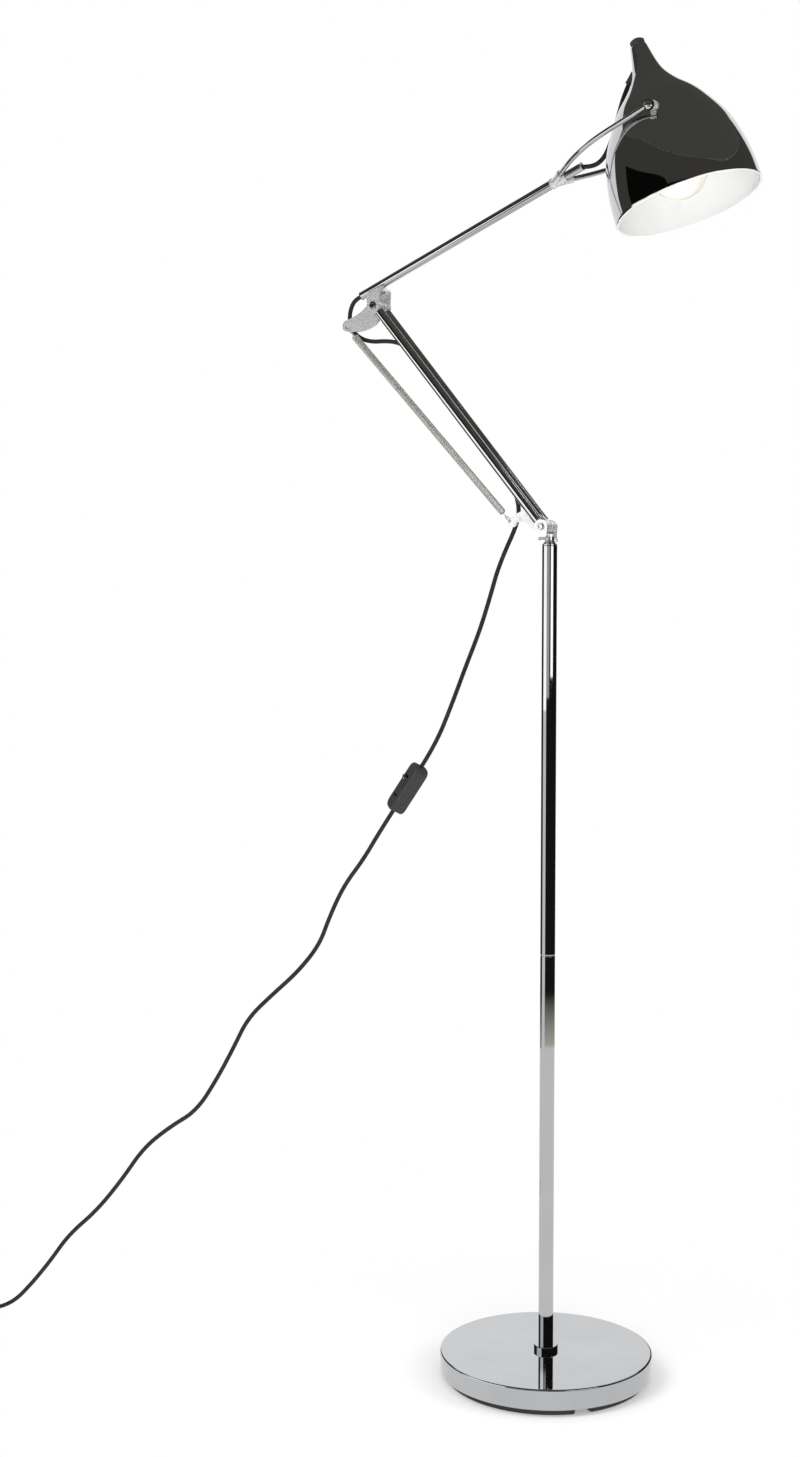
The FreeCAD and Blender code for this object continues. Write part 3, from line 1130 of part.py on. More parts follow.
def make_lead():
    frame = switch_frame()
    ends = [frame.multVec(Vector(side * (SWITCH_LENGTH / 2 - CORD_SINK), 0, 0)) for side in (-1, 1)]
    approach = [frame.multVec(Vector(side * (SWITCH_LENGTH / 2 + SWITCH_RUN), 0, 0)) for side in (-1, 1)]
    start = hang(*LEAD_START)
    backward = (start - hang(*LEAD_UPPER[0])).normalize()
    route = [lower_gap_point(GAP_LOW - run) for run in (0, GAP_RUN)] + [Vector(point) for point in EXIT_ROUTE]
    save("cord_exit", cord(route + [start + backward * EXIT_RUN, start], "cord_exit"))
    upper = [start] + [hang(*point) for point in LEAD_UPPER] + [approach[0], ends[0]]
    upper_lead = cord(upper, "cord_drop_upper")
    coil_start = hang(COIL_ENTRY_X, CORD_RADIUS)
    lower = [ends[1], approach[1]] + [hang(*point) for point in LEAD_LOWER] + [coil_start]
    lower_lead = cord(lower, "cord_drop_lower")
    base, cover = switch_housing()
    seats = [cylinder(CORD_RADIUS, end, near) for end, near in zip(ends, approach)]
    for name, half in (("switch_base", base), ("switch_cover", cover)):
        half.Placement = frame.multiply(half.Placement)
        save(name, half.cut(seats[0]).cut(seats[1]))
    rocker = switch_rocker()
    rocker.Placement = frame.multiply(rocker.Placement)
    save("switch_rocker", rocker)
    axle = frame.multVec(UP * ROCKER_AXLE)
    axis = frame.Rotation.multVec(ACROSS)
    print("rocker axle at %s along %s" % (tuple(axle), tuple(axis)))
    save("cord_drop_upper", upper_lead)

    coil, high = coil_solid()
    tie = coil_tie(high)
    centre = coil_centre()
    tie_hole = coil.copy()
    tie = tie.cut(tie_hole)
    for piece in (coil, tie):
        piece.translate(centre)
    coil_top = high - CORD_RADIUS
    plug_height = PLUG_BODY_HEIGHT / 2
    tail = [hang(COIL_ENTRY_X, coil_top)] + [hang(COIL_ENTRY_X - x, z) for x, z in LEAD_TAIL]
    tail += [hang(COIL_ENTRY_X - x, plug_height) for x in TAIL_END]
    tail_cord = cord(tail, "cord_tail")
    save("cord_coil", coil.cut(lower_lead).cut(tail_cord))
    save("coil_tie", tie)
    save("cord_drop_lower", lower_lead)
    save("cord_tail", tail_cord)
    direction = Vector(-1, -LEAD_PLANE_SLOPE, 0).normalize()
    nose = tail[-1] + direction * RELIEF_LENGTH
    relief = Part.makeCone(CORD_RADIUS + 0.6, RELIEF_THICK, RELIEF_LENGTH, tail[-1], direction)
    save("plug_strain_relief", relief)
    plug = plug_frame(nose)
    for name, pieces in (("plug_body", [plug_body()]), ("plug_pins", list(plug_pins()))):
        for piece in pieces:
            piece.Placement = plug.multiply(piece.Placement)
        save(name, *pieces)


os.makedirs("parts", exist_ok=True)
make_base()
make_pole()
make_head()
make_lower_arm()
make_upper_arm()
make_shade()
make_held_cord()
make_lead()
for label, place in (("foot pivot", FOOT_PIVOT), ("elbow pivot", ELBOW_PIVOT), ("shade pivot", SHADE_PIVOT),
                     ("shade top", SHADE_TOP), ("spring axis", spring_axis())):
    print("%s %.4f %.4f %.4f" % ((label,) + tuple(place)))
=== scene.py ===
"""Looks of a spring-balanced floor lamp, built round its packed construction.

Metres, +Z up, shade towards +X.
"""
import json
import math

import bmesh
import bpy
from bpy.props import FloatProperty, FloatVectorProperty, IntProperty, PointerProperty
from mathutils import Matrix, Vector


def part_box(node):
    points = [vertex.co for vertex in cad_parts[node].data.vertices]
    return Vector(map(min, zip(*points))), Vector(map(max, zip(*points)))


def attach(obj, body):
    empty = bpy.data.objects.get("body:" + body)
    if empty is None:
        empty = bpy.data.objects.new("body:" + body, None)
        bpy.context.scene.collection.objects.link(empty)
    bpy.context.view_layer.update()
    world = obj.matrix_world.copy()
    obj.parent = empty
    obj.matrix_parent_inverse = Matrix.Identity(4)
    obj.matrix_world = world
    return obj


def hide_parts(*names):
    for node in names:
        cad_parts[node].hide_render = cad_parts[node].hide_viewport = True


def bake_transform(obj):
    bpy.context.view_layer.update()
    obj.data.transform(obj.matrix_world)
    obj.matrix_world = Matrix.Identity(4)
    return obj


bl_info = {
    "name": "Spring-balanced floor lamp",
    "version": (1, 0, 0),
    "blender": (4, 5, 0),
    "location": "View3D > Sidebar > Floor lamp",
    "description": "Dresses the packed floor lamp: chrome, cables, coil spring, shade and studio",
    "category": "Object",
}

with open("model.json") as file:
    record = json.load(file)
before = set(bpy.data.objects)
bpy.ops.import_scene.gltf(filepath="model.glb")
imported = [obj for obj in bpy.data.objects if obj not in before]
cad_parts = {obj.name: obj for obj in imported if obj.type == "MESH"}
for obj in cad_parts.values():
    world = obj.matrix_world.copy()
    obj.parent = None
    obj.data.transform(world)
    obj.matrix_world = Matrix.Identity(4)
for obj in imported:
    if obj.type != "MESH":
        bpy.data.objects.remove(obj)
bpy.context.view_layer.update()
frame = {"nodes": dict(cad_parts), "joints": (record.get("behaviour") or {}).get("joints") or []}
JOINT_PLACE = {joint["name"]: Vector(joint.get("pos_m", (0, 0, 0))) for joint in frame["joints"]}

UP = Vector((0, 0, 1))
ACROSS = Vector((0, 1, 0))
MERGE = 1e-6                    # points closer than this are one
SHARP = math.radians(38)        # edges sharper than this keep a crease
CORNER = 1                      # radians between two faces, past which their edge is a corner
SATIN_METAL = 0.65              # share of mirror in the satin plate; the rest scatters

# ---- the arm and the shade, as the construction has them ----
LOWER_ANGLE = math.radians(130)
UPPER_ANGLE = math.radians(23.07)
FOOT_PIVOT = JOINT_PLACE["lower_arm_tilt"]
ELBOW_PIVOT = JOINT_PLACE["elbow_tilt"]
SHADE_PIVOT = JOINT_PLACE["shade_tilt"]
LOWER_LENGTH = (ELBOW_PIVOT - FOOT_PIVOT).length
ARM_RISE = 0.0208               # from the elbow up to the upper tube's axis
UPPER_REAR = 0.0154             # from the elbow back to the lip of the rear grommet
UPPER_REACH = 0.2372
HORN_TIP = Vector((-0.0422, 0, 0.0064))
LEVER_TIP = Vector((-0.0406, 0, -0.0206))
SHADE_LEAN = 19.2               # degrees between the shade's axis and a plumb line
SHADE_DROP = 0.094              # from the cap's top down to the pivot
SHADE_AHEAD = 0.0124            # from the shade's axis forward to the pivot
GLAND_FOOT = Vector((-0.0124, 0, -0.032))
GLAND_SLANT = 33.0              # degrees between the gland and a plumb line
GLAND_LENGTH = 0.013

# ---- the cable's route: the construction's points, in metres ----
CORD_RADIUS = 0.0024
LEAD_PLANE_X = -0.0446
LEAD_PLANE_Y = 0.0045
LEAD_PLANE_SLOPE = 0.2496
GAP_LOW = 0.075
GAP_HIGH = 0.080
GAP_RUN = 0.014
TUBE_RUN = 0.008
FERRULE_RUN = 0.009
GLAND_RUN = 0.005
LOOP_START = 0.028
ELBOW_LOOP = ((-0.0350, 0.0006, 0.0040), (-0.0388, 0.0022, -0.0040), (-0.0406, 0.0047, -0.0130),
              (-0.0386, 0.0068, -0.0224), (-0.0322, 0.0086, -0.0295), (-0.0223, 0.0078, -0.0344),
              (-0.0083, 0.0036, -0.0373), (0.0076, 0.0006, -0.0378), (0.0210, 0, -0.0396),
              (0.0314, 0, -0.0437))
SHADE_LOOP = ((0.0446, 0.0140), (0.0520, 0.0154), (0.0589, 0.0202), (0.0642, 0.0282), (0.0694, 0.0405),
              (0.0746, 0.0575))
EXIT_ROUTE = ((-0.0400, 0.0014, 0.9542), (-0.0386, 0.0045, 0.9410), (-0.0410, 0.0052, 0.9282))
EXIT_RUN = 0.0096
LEAD_START = (-0.0488, 0.9083)
LEAD_UPPER = ((-0.0605, 0.882), (-0.0698, 0.848), (-0.081, 0.811), (-0.0965, 0.771), (-0.111, 0.731))
LEAD_LOWER = ((-0.209, 0.557), (-0.231, 0.527), (-0.2475, 0.491), (-0.259, 0.459), (-0.284, 0.427),
              (-0.313, 0.400), (-0.342, 0.371), (-0.3585, 0.337), (-0.378, 0.300), (-0.403, 0.260),
              (-0.435, 0.239), (-0.467, 0.212), (-0.494, 0.172), (-0.525, 0.133), (-0.560, 0.101),
              (-0.583, 0.068), (-0.607, 0.038), (-0.630, 0.0135), (-0.656, CORD_RADIUS))
LEAD_TAIL = ((0.018, 0.0050), (0.036, 0.0034), (0.054, 0.0070), (0.070, 0.0070))
SWITCH_CENTRE = (-0.1598, 0.6375)
SWITCH_AXIS = Vector((-0.5295, -0.132, -0.838))
SWITCH_FACE = Vector((-0.552, -0.696, 0.459))
SWITCH_GRIP = 0.028             # from the switch's middle to the cable's ends inside it
SWITCH_APPROACH = 0.059
COIL_ENTRY_X = -0.680
COIL_RADIUS = 0.025
COIL_TURNS_WIDE = 3
TIE_THICKNESS = 0.0008
TIE_WIDTH = 0.006
TIE_DIRECTION = math.radians(250)
RELIEF_LENGTH = 0.024

# ---- the camera, where the photograph was taken from ----
CAMERA_PLACE = Vector((0.9398, -1.9452, 0.8522))
CAMERA_HEADING = Vector((-0.5, 0.8660, 0))
CAMERA_TILT = math.radians(3.848)
CAMERA_LENS = 50                # millimetres, on a sensor of the next width
CAMERA_SENSOR = 36
WHITE = (1, 1, 1, 1)


class LampSizes(bpy.types.PropertyGroup):
    """Sizes of what the looks add to the construction."""

    base_edge: FloatProperty(name="Base edge", description="Rounding of the base cover's top edge",
                             default=0.002, min=0.0005, max=0.004, unit="LENGTH")
    base_lip: FloatProperty(name="Base lip", description="Rolled lower edge of the base cover",
                            default=0.0007, min=0.0002, max=0.0015, unit="LENGTH")
    foot_edge: FloatProperty(name="Foot edge", description="Rounding of the rubber feet's lower edges",
                             default=0.0022, min=0.0005, max=0.004, unit="LENGTH")
    spring_radius: FloatProperty(name="Spring radius", description="Outside radius of the coil spring",
                                 default=0.004, min=0.003, max=0.006, unit="LENGTH")
    spring_wire: FloatProperty(name="Spring wire", description="Radius of the spring's wire",
                               default=0.0006, min=0.0004, max=0.001, unit="LENGTH")
    spring_turns: IntProperty(name="Spring turns", description="Turns of the coil spring",
                              default=168, min=60, max=220)
    shade_wall: FloatProperty(name="Shade wall", description="Thickness of the shade's metal with its enamel",
                              default=0.0012, min=0.0006, max=0.002, unit="LENGTH")
    shade_bead: FloatProperty(name="Shade bead", description="Radius of the bead round the shade's mouth",
                              default=0.0012, min=0.0006, max=0.002, unit="LENGTH")
    bulb_radius: FloatProperty(name="Bulb radius", description="Radius of the bulb's globe",
                               default=0.030, min=0.02, max=0.04, unit="LENGTH")


class LampColours(bpy.types.PropertyGroup):
    """Colours of the lamp's finishes."""

    chrome: FloatVectorProperty(name="Chrome", description="Chrome plate seen straight on",
                                default=(0.56, 0.568, 0.58), subtype="COLOR", min=0, max=1)
    satin: FloatVectorProperty(name="Satin nickel", description="Satin plate of brackets and levers",
                               default=(0.80, 0.805, 0.80), subtype="COLOR", min=0, max=1)
    zinc: FloatVectorProperty(name="Bright zinc", description="Screws, nuts and pins",
                              default=(0.66, 0.66, 0.65), subtype="COLOR", min=0, max=1)
    wire: FloatVectorProperty(name="Spring wire", description="Drawn wire of the spring",
                              default=(0.72, 0.70, 0.66), subtype="COLOR", min=0, max=1)
    enamel: FloatVectorProperty(name="Enamel", description="White enamel inside the shade",
                                default=(0.92, 0.92, 0.915), subtype="COLOR", min=0, max=1)
    plastic: FloatVectorProperty(name="Black plastic", description="Moulded switch, plug, cap and gland",
                                 default=(0.022, 0.022, 0.024), subtype="COLOR", min=0, max=1)
    cable: FloatVectorProperty(name="Cable", description="Jacket of the mains lead",
                               default=(0.009, 0.009, 0.010), subtype="COLOR", min=0, max=1)
    bulb: FloatVectorProperty(name="Bulb", description="Opal glass of the bulb",
                              default=(0.64, 0.55, 0.34), subtype="COLOR", min=0, max=1)


class LampStudio(bpy.types.PropertyGroup):
    """Levels of the studio round the lamp."""

    sky: FloatProperty(name="Sky", description="Even light from all round", default=0.55, min=0, max=1)
    key: FloatProperty(name="Key", description="Watts of the large soft lamp above the camera's left",
                       default=52, min=0, max=200)
    fill: FloatProperty(name="Fill", description="Watts of the low soft lamp before the shade",
                        default=24, min=0, max=100)
    floor: FloatVectorProperty(name="Floor", description="Colour of the floor", default=(0.82, 0.82, 0.82),
                               subtype="COLOR", min=0, max=1)


# ---- places ----
def heading(angle):
    return Vector((math.cos(angle), 0, math.sin(angle)))


def lower_gap_point(distance):
    """Point in the gap between the lower tubes, measured from the foot pivot."""
    return FOOT_PIVOT + heading(LOWER_ANGLE) * distance


def upper_point(along):
    """Point on the upper tube's axis, measured forward from the elbow."""
    return ELBOW_PIVOT + heading(UPPER_ANGLE + math.pi / 2) * ARM_RISE + heading(UPPER_ANGLE) * along


def hang(x, z):
    """Point of the free lead in its upright plane."""
    return Vector((x, LEAD_PLANE_Y + (x - LEAD_PLANE_X) * LEAD_PLANE_SLOPE, z))


def lead_heading():
    return Vector((-1, -LEAD_PLANE_SLOPE, 0)).normalized()


def coil_centre():
    outermost = COIL_RADIUS + (COIL_TURNS_WIDE - 1) * CORD_RADIUS
    return hang(COIL_ENTRY_X, 0) + UP.cross(lead_heading()) * outermost


def shade_matrix():
    """Placement of the shade: local -Z runs down its axis from the cap's top, local X is its front."""
    angle = math.radians(SHADE_LEAN)
    down = heading(angle - math.pi / 2)
    top = SHADE_PIVOT - down * SHADE_DROP - heading(angle) * SHADE_AHEAD
    return Matrix.Translation(top) @ Matrix.Rotation(-angle, 4, "Y")


def switch_matrix():
    """Placement of the switch: local X down the lead, Z out of the rocker's face."""
    axis = SWITCH_AXIS.normalized()
    across = SWITCH_FACE.cross(axis).normalized()
    face = axis.cross(across).normalized()
    turn = Matrix((axis, across, face)).transposed().to_4x4()
    return Matrix.Translation(hang(*SWITCH_CENTRE)) @ turn


def pointing(place, direction):
    """Placement whose local Z points along a direction."""
    return Matrix.Translation(place) @ direction.to_track_quat("Z", "Y").to_matrix().to_4x4()


# ---- node trees ----
class Tree:
    """Short way to write a node tree."""

    def __init__(self, tree):
        self.tree = tree

    def add(self, kind, values=None, **settings):
        node = self.tree.nodes.new(kind)
        for name, value in settings.items():
            setattr(node, name, value)
        for name, value in (values or {}).items():
            self.set(node.inputs[name], value)
        return node

    def set(self, socket, value):
        if isinstance(value, bpy.types.NodeSocket):
            self.tree.links.new(value, socket)
        else:
            socket.default_value = value

    def mix(self, factor, first, second):
        """Colour between two colours."""
        node = self.add("ShaderNodeMix", data_type="RGBA")
        self.set(node.inputs[0], factor)
        self.set(node.inputs[6], first)
        self.set(node.inputs[7], second)
        return node.outputs[2]

    def spread(self, value, low, high, start=0.0, end=1.0):
        """Value from start..end taken to low..high."""
        node = self.add("ShaderNodeMapRange", {"Value": value, "From Min": start, "From Max": end,
                                                "To Min": low, "To Max": high})
        return node.outputs["Result"]

    def math(self, operation, first, second=0.0):
        node = self.add("ShaderNodeMath", operation=operation)
        self.set(node.inputs[0], first)
        self.set(node.inputs[1], second)
        return node.outputs[0]

    def noise(self, where, scale, detail, **more):
        """Cloudy value from 0 to 1."""
        values = {"Vector": where, "Scale": scale, "Detail": detail, **more}
        return self.add("ShaderNodeTexNoise", values).outputs["Fac"]

    def bump(self, height, strength, distance, normal=None):
        values = {"Strength": strength, "Distance": distance, "Height": height}
        if normal:
            values["Normal"] = normal
        return self.add("ShaderNodeBump", values).outputs["Normal"]

    def place(self, group, values):
        node = self.tree.nodes.new("ShaderNodeGroup")
        node.node_tree = group
        for name, value in values.items():
            self.set(node.inputs[name], value)
        return node


def new_group(name, inputs, outputs):
    """Empty shader group with named sockets; returns it with its writer, its inputs and its output node."""
    group = bpy.data.node_groups.new(name, "ShaderNodeTree")
    for label, kind, value in inputs:
        socket = group.interface.new_socket(name=label, in_out="INPUT", socket_type=kind)
        if kind == "NodeSocketFloat":
            socket.default_value = value
    for label in outputs:
        group.interface.new_socket(name=label, in_out="OUTPUT", socket_type="NodeSocketFloat")
    tree = Tree(group)
    return group, tree, tree.add("NodeGroupInput").outputs, tree.add("NodeGroupOutput")


def colour(value, shade=1.0):
    return (value[0] * shade, value[1] * shade, value[2] * shade, 1)


def handling_group():
    """Slow clouds of handling and fine wipe marks, both from 0 to 1."""
    if "Handling Marks" in bpy.data.node_groups:
        return bpy.data.node_groups["Handling Marks"]
    group, tree, given, out = new_group(
        "Handling Marks", [("Vector", "NodeSocketVector", None), ("Cloud Scale", "NodeSocketFloat", 18.0),
                           ("Mark Scale", "NodeSocketFloat", 240.0)], ["Clouds", "Marks"])
    clouds = tree.noise(given["Vector"], given["Cloud Scale"], 4.0, Roughness=0.62)
    tree.set(out.inputs["Clouds"], tree.spread(clouds, 0, 1, 0.34, 0.66))
    marks = []
    for turn in ((0.5, 0.2, 0.9), (-0.7, 0.5, -0.4)):
        values = {"Vector": given["Vector"], "Rotation": turn, "Scale": (1.0, 0.03, 1.0)}
        turned = tree.add("ShaderNodeMapping", values).outputs["Vector"]
        marks.append(tree.spread(tree.noise(turned, given["Mark Scale"], 1.0), 0, 1, 0.64, 0.74))
    tree.set(out.inputs["Marks"], tree.math("MAXIMUM", marks[0], marks[1]))
    return group


def grain_group():
    """Height of a moulded or cast skin: fine cells over a soft unevenness; and specks of dust on it."""
    if "Skin Grain" in bpy.data.node_groups:
        return bpy.data.node_groups["Skin Grain"]
    group, tree, given, out = new_group(
        "Skin Grain", [("Vector", "NodeSocketVector", None), ("Scale", "NodeSocketFloat", 900.0),
                       ("Coarse", "NodeSocketFloat", 0.4)], ["Height", "Specks"])
    cells = tree.add("ShaderNodeTexVoronoi", {"Vector": given["Vector"], "Scale": given["Scale"]})
    fine = tree.math("MULTIPLY", cells.outputs["Distance"], 0.5)
    soft = tree.noise(given["Vector"], tree.math("MULTIPLY", given["Scale"], 0.12), 5.0, Roughness=0.6)
    coarse = tree.math("MULTIPLY", soft, given["Coarse"])
    tree.set(out.inputs["Height"], tree.math("ADD", fine, coarse))
    dust = tree.noise(given["Vector"], given["Scale"], 0.0)
    tree.set(out.inputs["Specks"], tree.spread(dust, 0, 1, 0.70, 0.80))
    return group


def rings_group():
    """Height of turned grooves round an axis along Y, from 0 to 1."""
    if "Turned Rings" in bpy.data.node_groups:
        return bpy.data.node_groups["Turned Rings"]
    group, tree, given, out = new_group(
        "Turned Rings", [("Vector", "NodeSocketVector", None), ("Centre", "NodeSocketVector", None),
                         ("Pitch", "NodeSocketFloat", 0.0008)], ["Height"])
    offset = tree.add("ShaderNodeVectorMath", {0: given["Vector"], 1: given["Centre"]}, operation="SUBTRACT")
    flat = tree.add("ShaderNodeVectorMath", {0: offset.outputs[0], 1: (1, 0, 1)}, operation="MULTIPLY")
    reach = tree.add("ShaderNodeVectorMath", {0: flat.outputs[0]}, operation="LENGTH")
    phase = tree.math("MULTIPLY", tree.math("DIVIDE", reach.outputs["Value"], given["Pitch"]), 2 * math.pi)
    tree.set(out.inputs["Height"], tree.spread(tree.math("SINE", phase), 0, 1, -1, 1))
    return group


class Finish(Tree):
    """New material with its own Principled shader, and the writer of its node tree."""

    def __init__(self, name, base, metallic, roughness):
        self.made = bpy.data.materials.new(name)
        self.made.use_nodes = True
        self.made.diffuse_color = base
        super().__init__(self.made.node_tree)
        self.shader = self.made.node_tree.nodes["Principled BSDF"]
        self.shader.inputs["Base Color"].default_value = base
        self.shader.inputs["Metallic"].default_value = metallic
        self.shader.inputs["Roughness"].default_value = roughness
        self.where = self.add("ShaderNodeTexCoord").outputs["Object"]

    def handling(self, cloud_scale, mark_scale):
        """Clouds and wipe marks of handling, at these scales."""
        values = {"Vector": self.where, "Cloud Scale": cloud_scale, "Mark Scale": mark_scale}
        marks = self.place(handling_group(), values)
        return marks.outputs["Clouds"], marks.outputs["Marks"]

    def skin(self, scale, coarse):
        """Height and specks of a grained skin, at this scale."""
        grain = self.place(grain_group(), {"Vector": self.where, "Scale": scale, "Coarse": coarse})
        return grain.outputs["Height"], grain.outputs["Specks"]

    def feed(self, tint, rough=None, normal=None):
        """Leads what was worked out into the shader."""
        for name, value in (("Base Color", tint), ("Roughness", rough), ("Normal", normal)):
            if value is not None:
                self.set(self.shader.inputs[name], value)

    def glow(self, tint, strength):
        """Lets the surface shine by itself, with no sheen on it."""
        self.shader.inputs["Specular IOR Level"].default_value = 0
        self.shader.inputs["Emission Color"].default_value = tint
        self.set(self.shader.inputs["Emission Strength"], strength)


def once(build):
    """Lets a material's function build it on the first call and hand it out again later."""
    def get():
        if build.__name__ not in bpy.data.materials:
            build(build.__name__)
        return bpy.data.materials[build.__name__]
    return get


def colours():
    return bpy.context.scene.lamp_colours


@once
def mirror_chrome(name):
    """Bright plate: near-mirror, with faint clouds of handling, wipe marks and a slow waviness."""
    base = colours().chrome
    plate = Finish(name, colour(base), 1.0, 0.04)
    clouds, marks = plate.handling(14.0, 260.0)
    rough = plate.math("ADD", plate.spread(clouds, 0.018, 0.045), plate.spread(marks, 0, 0.015))
    wave = plate.noise(plate.where, 14.0, 0.0)
    plate.feed(plate.mix(clouds, colour(base), colour(base, 0.93)), rough, plate.bump(wave, 0.02, 0.0012))


@once
def white_enamel(name):
    """Sprayed white inside of the shade: matt, with a light orange-peel."""
    base = colours().enamel
    paint = Finish(name, colour(base), 0.0, 0.5)
    height, _ = paint.skin(1100.0, 0.8)
    clouds, _ = paint.handling(30.0, 300.0)
    paint.feed(paint.mix(clouds, colour(base), colour(base, 0.975)), paint.spread(clouds, 0.42, 0.56),
               paint.bump(height, 0.25, 0.00012))


@once
def satin_nickel(name):
    """Stamped and tumbled brackets: satin plate with a fine grain and soft rubbed patches."""
    base = colours().satin
    plate = Finish(name, colour(base), SATIN_METAL, 0.3)
    clouds, marks = plate.handling(120.0, 700.0)
    height, _ = plate.skin(2600.0, 0.5)
    rough = plate.math("ADD", plate.spread(clouds, 0.24, 0.36), plate.spread(marks, 0, 0.08))
    plate.feed(plate.mix(clouds, colour(base), colour(base, 0.9)), rough, plate.bump(height, 0.08, 0.00004))


def turned_nickel(name, centre):
    """Satin plate with the turned rings of a hinge's face about its pin."""
    base = colours().satin
    plate = Finish(name, colour(base, 1.08), SATIN_METAL, 0.3)
    rings = plate.place(rings_group(), {"Vector": plate.where, "Centre": centre, "Pitch": 0.0011})
    clouds, _ = plate.handling(140.0, 800.0)
    height, _ = plate.skin(2600.0, 0.4)
    fine = plate.bump(height, 0.06, 0.00004)
    plate.feed(plate.mix(clouds, colour(base, 1.1), colour(base)), plate.spread(clouds, 0.2, 0.32),
               plate.bump(rings.outputs["Height"], 0.12, 0.00004, fine))
    return plate.made


@once
def bright_zinc(name):
    """Screws, nuts and washers: bright plate, a little uneven."""
    base = colours().zinc
    plate = Finish(name, colour(base), 1.0, 0.2)
    clouds, marks = plate.handling(260.0, 1500.0)
    rough = plate.math("ADD", plate.spread(clouds, 0.13, 0.26), plate.spread(marks, 0, 0.1))
    plate.feed(plate.mix(clouds, colour(base), colour(base, 0.86)), rough)


@once
def spring_wire(name):
    """Drawn steel wire: bright, with a fine drag along it and a trace of warm oil."""
    base = colours().wire
    wire = Finish(name, colour(base), SATIN_METAL, 0.3)
    clouds, marks = wire.handling(60.0, 1800.0)
    wire.feed(wire.mix(clouds, colour(base), colour(base, 0.85)), wire.spread(marks, 0.26, 0.42))


@once
def cast_weight(name):
    """Rough casting inside the base."""
    base = (0.12, 0.115, 0.11)
    cast = Finish(name, colour(base), 0.6, 0.7)
    height, specks = cast.skin(420.0, 1.4)
    cast.feed(cast.mix(specks, colour(base), (0.2, 0.13, 0.09, 1)), cast.spread(height, 0.55, 0.85),
              cast.bump(height, 0.7, 0.0006))


@once
def turned_brass(name):
    """Bush of the swivel."""
    base = (0.72, 0.53, 0.25)
    brass = Finish(name, colour(base), 1.0, 0.3)
    clouds, marks = brass.handling(200.0, 1600.0)
    brass.feed(brass.mix(clouds, colour(base), colour(base, 0.75)), brass.spread(marks, 0.22, 0.4))


@once
def black_plastic(name):
    """Moulded black: satin, with a fine spark-eroded grain and rubbed lighter patches."""
    base = colours().plastic
    moulded = Finish(name, colour(base), 0.0, 0.4)
    height, specks = moulded.skin(1900.0, 0.5)
    clouds, marks = moulded.handling(90.0, 900.0)
    rubbed = moulded.mix(clouds, colour(base), colour(base, 1.7))
    dusty = moulded.mix(moulded.math("MULTIPLY", specks, 0.1), rubbed, (0.11, 0.11, 0.105, 1))
    rough = moulded.math("SUBTRACT", moulded.spread(clouds, 0.44, 0.34), moulded.spread(marks, 0, 0.08))
    moulded.feed(dusty, rough, moulded.bump(height, 0.35, 0.00008))


@once
def black_rubber(name):
    """Feet, relief and tie: matt rubber with a dusty bloom."""
    base = (0.026, 0.026, 0.027)
    rubber = Finish(name, colour(base), 0.0, 0.7)
    height, _ = rubber.skin(1300.0, 0.9)
    clouds, _ = rubber.handling(55.0, 600.0)
    rubber.feed(rubber.mix(clouds, colour(base), (0.05, 0.05, 0.048, 1)), rubber.spread(height, 0.58, 0.82),
                rubber.bump(height, 0.4, 0.00012))


@once
def cable_jacket(name):
    """Black jacket of the lead: satin, faintly uneven, with dust and scuffs."""
    base = colours().cable
    jacket = Finish(name, colour(base), 0.0, 0.4)
    height, _ = jacket.skin(1500.0, 0.9)
    clouds, marks = jacket.handling(40.0, 700.0)
    scuffed = jacket.mix(clouds, colour(base), colour(base, 1.9))
    dusty = jacket.mix(jacket.math("MULTIPLY", marks, 0.3), scuffed, (0.09, 0.09, 0.088, 1))
    jacket.feed(dusty, jacket.spread(clouds, 0.34, 0.48), jacket.bump(height, 0.25, 0.00012))
    jacket.shader.inputs["Specular IOR Level"].default_value = 0.3


@once
def pale_nylon(name):
    """Friction washers in the hinges."""
    base = (0.70, 0.69, 0.64)
    nylon = Finish(name, colour(base), 0.0, 0.45)
    height, specks = nylon.skin(1500.0, 0.5)
    nylon.feed(nylon.mix(specks, colour(base), colour(base, 0.8)), normal=nylon.bump(height, 0.3, 0.0001))


@once
def opal_glass(name):
    """The bulb's warm opal globe: glossy outside, its coating a little mottled."""
    base = colours().bulb
    glass = Finish(name, colour(base), 0.0, 0.16)
    clouds, marks = glass.handling(70.0, 500.0)
    mottled = glass.mix(clouds, colour(base, 1.04), (base[0] * 0.95, base[1] * 0.93, base[2] * 0.86, 1))
    glass.feed(mottled, glass.spread(marks, 0.12, 0.28))
    glass.shader.inputs["Coat Weight"].default_value = 0.4
    glass.shader.inputs["Coat Roughness"].default_value = 0.08


@once
def rocker_paint(name):
    """Pale inlaid dot on the rocker."""
    base = (0.42, 0.42, 0.40)
    paint = Finish(name, colour(base), 0.0, 0.5)
    height, specks = paint.skin(2400.0, 0.6)
    paint.feed(paint.mix(specks, colour(base), colour(base, 0.6)), paint.spread(height, 0.4, 0.6))


# ---- pieces ----
def shown(name, mesh, finishes, body):
    """Object of a finished mesh: linked, coloured and riding on its body."""
    piece = bpy.data.objects.new(name, mesh)
    bpy.context.scene.collection.objects.link(piece)
    for finish in finishes:
        mesh.materials.append(finish)
    if body:
        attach(piece, body)
    return piece


def meshed(name, bm, place=None, recalculate=True):
    """Mesh of a bmesh, with its doubles merged, its faces outwards and its creases kept."""
    if recalculate:
        bmesh.ops.remove_doubles(bm, verts=bm.verts, dist=MERGE)
        bmesh.ops.recalc_face_normals(bm, faces=bm.faces)
    if place:
        bm.transform(place)
    mesh = bpy.data.meshes.new(name)
    bm.to_mesh(mesh)
    bm.free()
    mesh.shade_smooth()
    mesh.set_sharp_from_angle(angle=SHARP)
    return mesh


